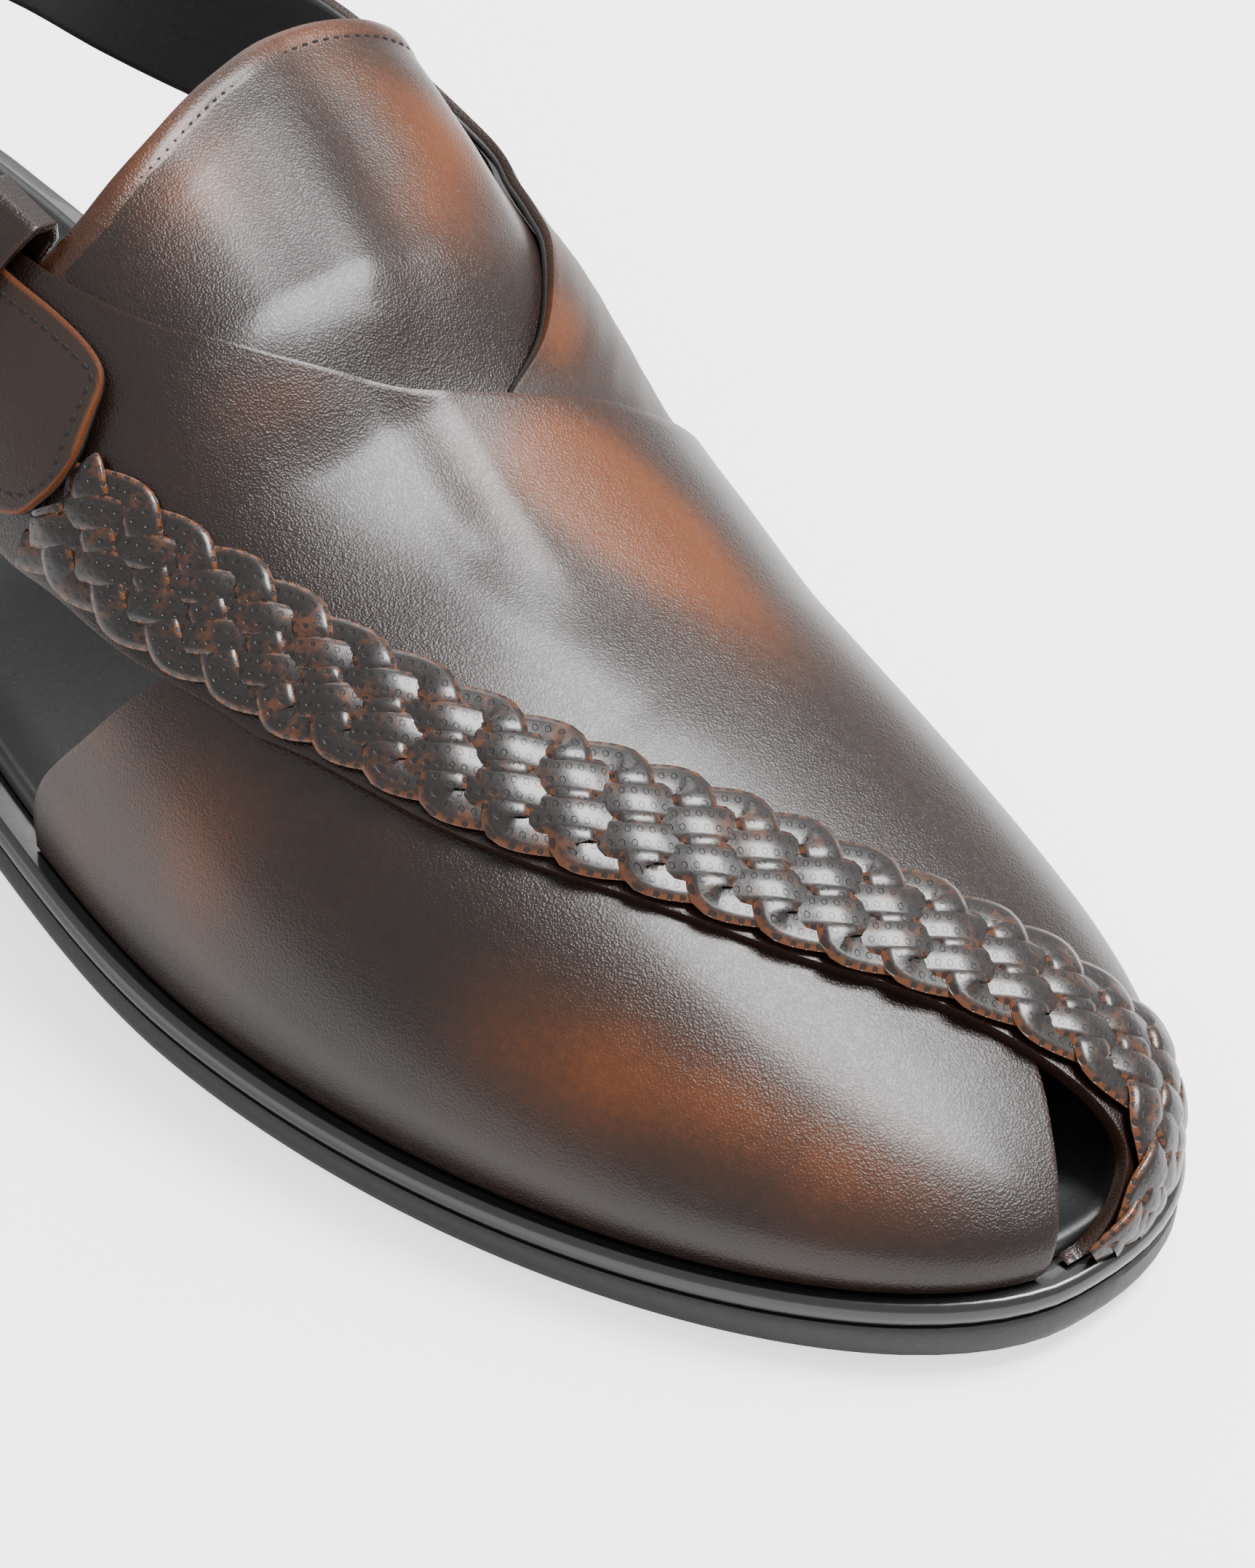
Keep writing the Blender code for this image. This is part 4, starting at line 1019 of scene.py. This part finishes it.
def solePlate(levels, lastRow=None):
    # a closed plate; each level of its side is a margin beyond the last, a height and a rise over that
    rowCount = lastRow or (sole["heelRows"] + sole["waistRows"] + sole["toeRows"]) * sole["fine"]
    bm = bmesh.new()
    bmesh.ops.create_grid(bm, x_segments=sole["columns"], y_segments=rowCount, size=0.5)
    rows = bm.verts.layers.int.new("row")
    columns = bm.verts.layers.int.new("column")
    for v in bm.verts:
        v[rows] = round((v.co.y + 0.5) * rowCount)
        v[columns] = round((v.co.x + 0.5) * sole["columns"])

    def shape(verts, level):
        margin, height, rise = levels[level]
        for v in verts:
            x, y = platePlan(v[rows], v[columns] / sole["columns"], margin)
            v.co = (x, y - originY, float(height(np.asarray(y)) + rise))

    shape(bm.verts, 0)
    top = list(bm.faces)
    for level in range(1, len(levels)):
        under = top
        made = bmesh.ops.extrude_face_region(bm, geom=under)
        newVerts = [g for g in made["geom"] if isinstance(g, bmesh.types.BMVert)]
        top = [g for g in made["geom"] if isinstance(g, bmesh.types.BMFace)]
        shape(newVerts, level)
        if level > 1:
            bmesh.ops.delete(bm, geom=[f for f in under if f.is_valid], context="FACES")
    bmesh.ops.recalc_face_normals(bm, faces=list(bm.faces))
    if bm.calc_volume(signed=True) < 0:
        bmesh.ops.reverse_faces(bm, faces=list(bm.faces))
    return bm


def outsoleTop(y):
    return seatHeight(y) - last["weltThick"] - gap


def floorHeight(y):
    return 0 * y


out = last["soleMargin"]
bed = gap + last["insoleThick"]
outsole = {"levels": [(out - 0.0014, groundHeight, 0.0), (out - 0.0004, groundHeight, 0.0008),
                      (out, groundHeight, 0.0021), (out - 0.0001, outsoleTop, -0.0006),
                      (out - 0.0006, outsoleTop, 0.0)]}
welt = {"reach": out + 0.0001, "steps": 8, "bulge": 0.0013}
insole = {"levels": [(-1.12 * wall, seatHeight, gap), (-1.1 * wall, seatHeight, gap + 0.0019),
                     (-1.32 * wall, seatHeight, bed), (-2.1 * wall, seatHeight, bed),
                     (-2.5 * wall, seatHeight, bed - 0.0007)]}
heel = {"levels": [(out - 0.0022, floorHeight, 0.0), (out - 0.0012, floorHeight, 0.001),
                   (out - 0.0005, groundHeight, -gap)]}


def weltLevels():
    # rounded side, from the underside to the top
    levels = []
    for i in range(welt["steps"] + 1):
        a = math.pi * (i / welt["steps"] - 0.5)
        share = 0.5 + 0.5 * math.sin(a)
        levels.append((welt["reach"] - welt["bulge"] * (1 - math.cos(a)),
                       lambda y, f=share: (outsoleTop(y) + gap) * (1 - f) + seatHeight(y) * f, 0.0))
    return levels


def heelRowCount():
    share = (last["heelLength"] - last["soleMargin"] - last["heelRound"]) / (ballLine - last["heelRound"])
    return round(sole["heelRows"] + share * sole["waistRows"]) * sole["fine"]


finishPiece("soleOutsole", solePlate(outsole["levels"]), plain["outsoleBlack"], ["outsole"],
            40)
finishPiece("soleWelt", solePlate(weltLevels()), plain["weltBlack"], ["welt"], 60)
finishPiece("footbed", solePlate(insole["levels"]), plain["insoleGrey"], ["insole"], 60)
finishPiece("heelBlock", solePlate(heel["levels"], heelRowCount()), plain["outsoleBlack"], ["heel"],
            40)
print("sole made")


# Floor, light and camera

floorLook = {"size": 6.0, "colour": (0.9, 0.9, 0.9), "roughness": 0.9, "seen": 1.2, "glow": 0.3}
worldStrength = 1.1


def studioFloor():
    bm = bmesh.new()
    bmesh.ops.create_grid(bm, x_segments=1, y_segments=1, size=floorLook["size"])
    made, tree, shader = newMaterial("floorWhite")
    # the floor shows as bright paper, but its own glow lights the shoe only a little
    seen = tree.nodes.new("ShaderNodeLightPath").outputs["Is Camera Ray"]
    fill(tree, shader, {
        "Base Color": floorLook["colour"], "Roughness": floorLook["roughness"], "Emission Color": (1, 1, 1),
        "Emission Strength": mathNode(tree, "MULTIPLY_ADD", seen, floorLook["seen"], floorLook["glow"])})
    floor = meshObject("studioFloor", bm, made)


def areaLight(name, place, target, size, energy):
    data = bpy.data.lights.new(name, "AREA")
    data.shape = "RECTANGLE"
    data.size, data.size_y = size
    data.energy = energy
    made = addObject(name, data)
    made.location = place
    made.rotation_euler = (Vector(target) - Vector(place)).to_track_quat("-Z", "Y").to_euler()


# place, target, size in metres and power in watts
lights = {
    "overhead": ((-0.49, 0.36, 1.08), (0.0, 0.14, 0.03), (0.46, 0.46), 31.0),
    "back": ((-0.9, -0.9, 1.1), (0.0, 0.12, 0.05), (0.8, 0.8), 8.0),
}
for lightName, (place, target, size, energy) in lights.items():
    areaLight(lightName, place, target, size, energy)

world = bpy.context.scene.world or bpy.data.worlds.new("studio")
bpy.context.scene.world = world
world.use_nodes = True
fill(world.node_tree, world.node_tree.nodes["Background"], {"Color": (1, 1, 1), "Strength": worldStrength})

studioFloor()

view = {
    "place": (0.5254, 0.674, 0.6389), "right": (-0.745, 0.658, 0.11), "up": (-0.363, -0.537, 0.762),
    "focalPixels": 9755.0, "imageWidth": 1725.0, "sensorWidth": 36.0,
}
cameraData = bpy.data.cameras.new("photoCamera")
cameraData.sensor_fit = "HORIZONTAL"
cameraData.sensor_width = view["sensorWidth"]
cameraData.lens = view["focalPixels"] * view["sensorWidth"] / view["imageWidth"]
cameraData.clip_start = 0.01
camera = addObject("photoCamera", cameraData)
cameraRight = Vector(view["right"]).normalized()
cameraUp = Vector(view["up"])
cameraUp = (cameraUp - cameraUp.dot(cameraRight) * cameraRight).normalized()
cameraBack = cameraRight.cross(cameraUp)
turnMatrix = Matrix((cameraRight, cameraUp, cameraBack)).transposed().to_4x4()
camera.matrix_world = Matrix.Translation(view["place"]) @ turnMatrix
bpy.context.scene.camera = camera
print("camera and lights placed")
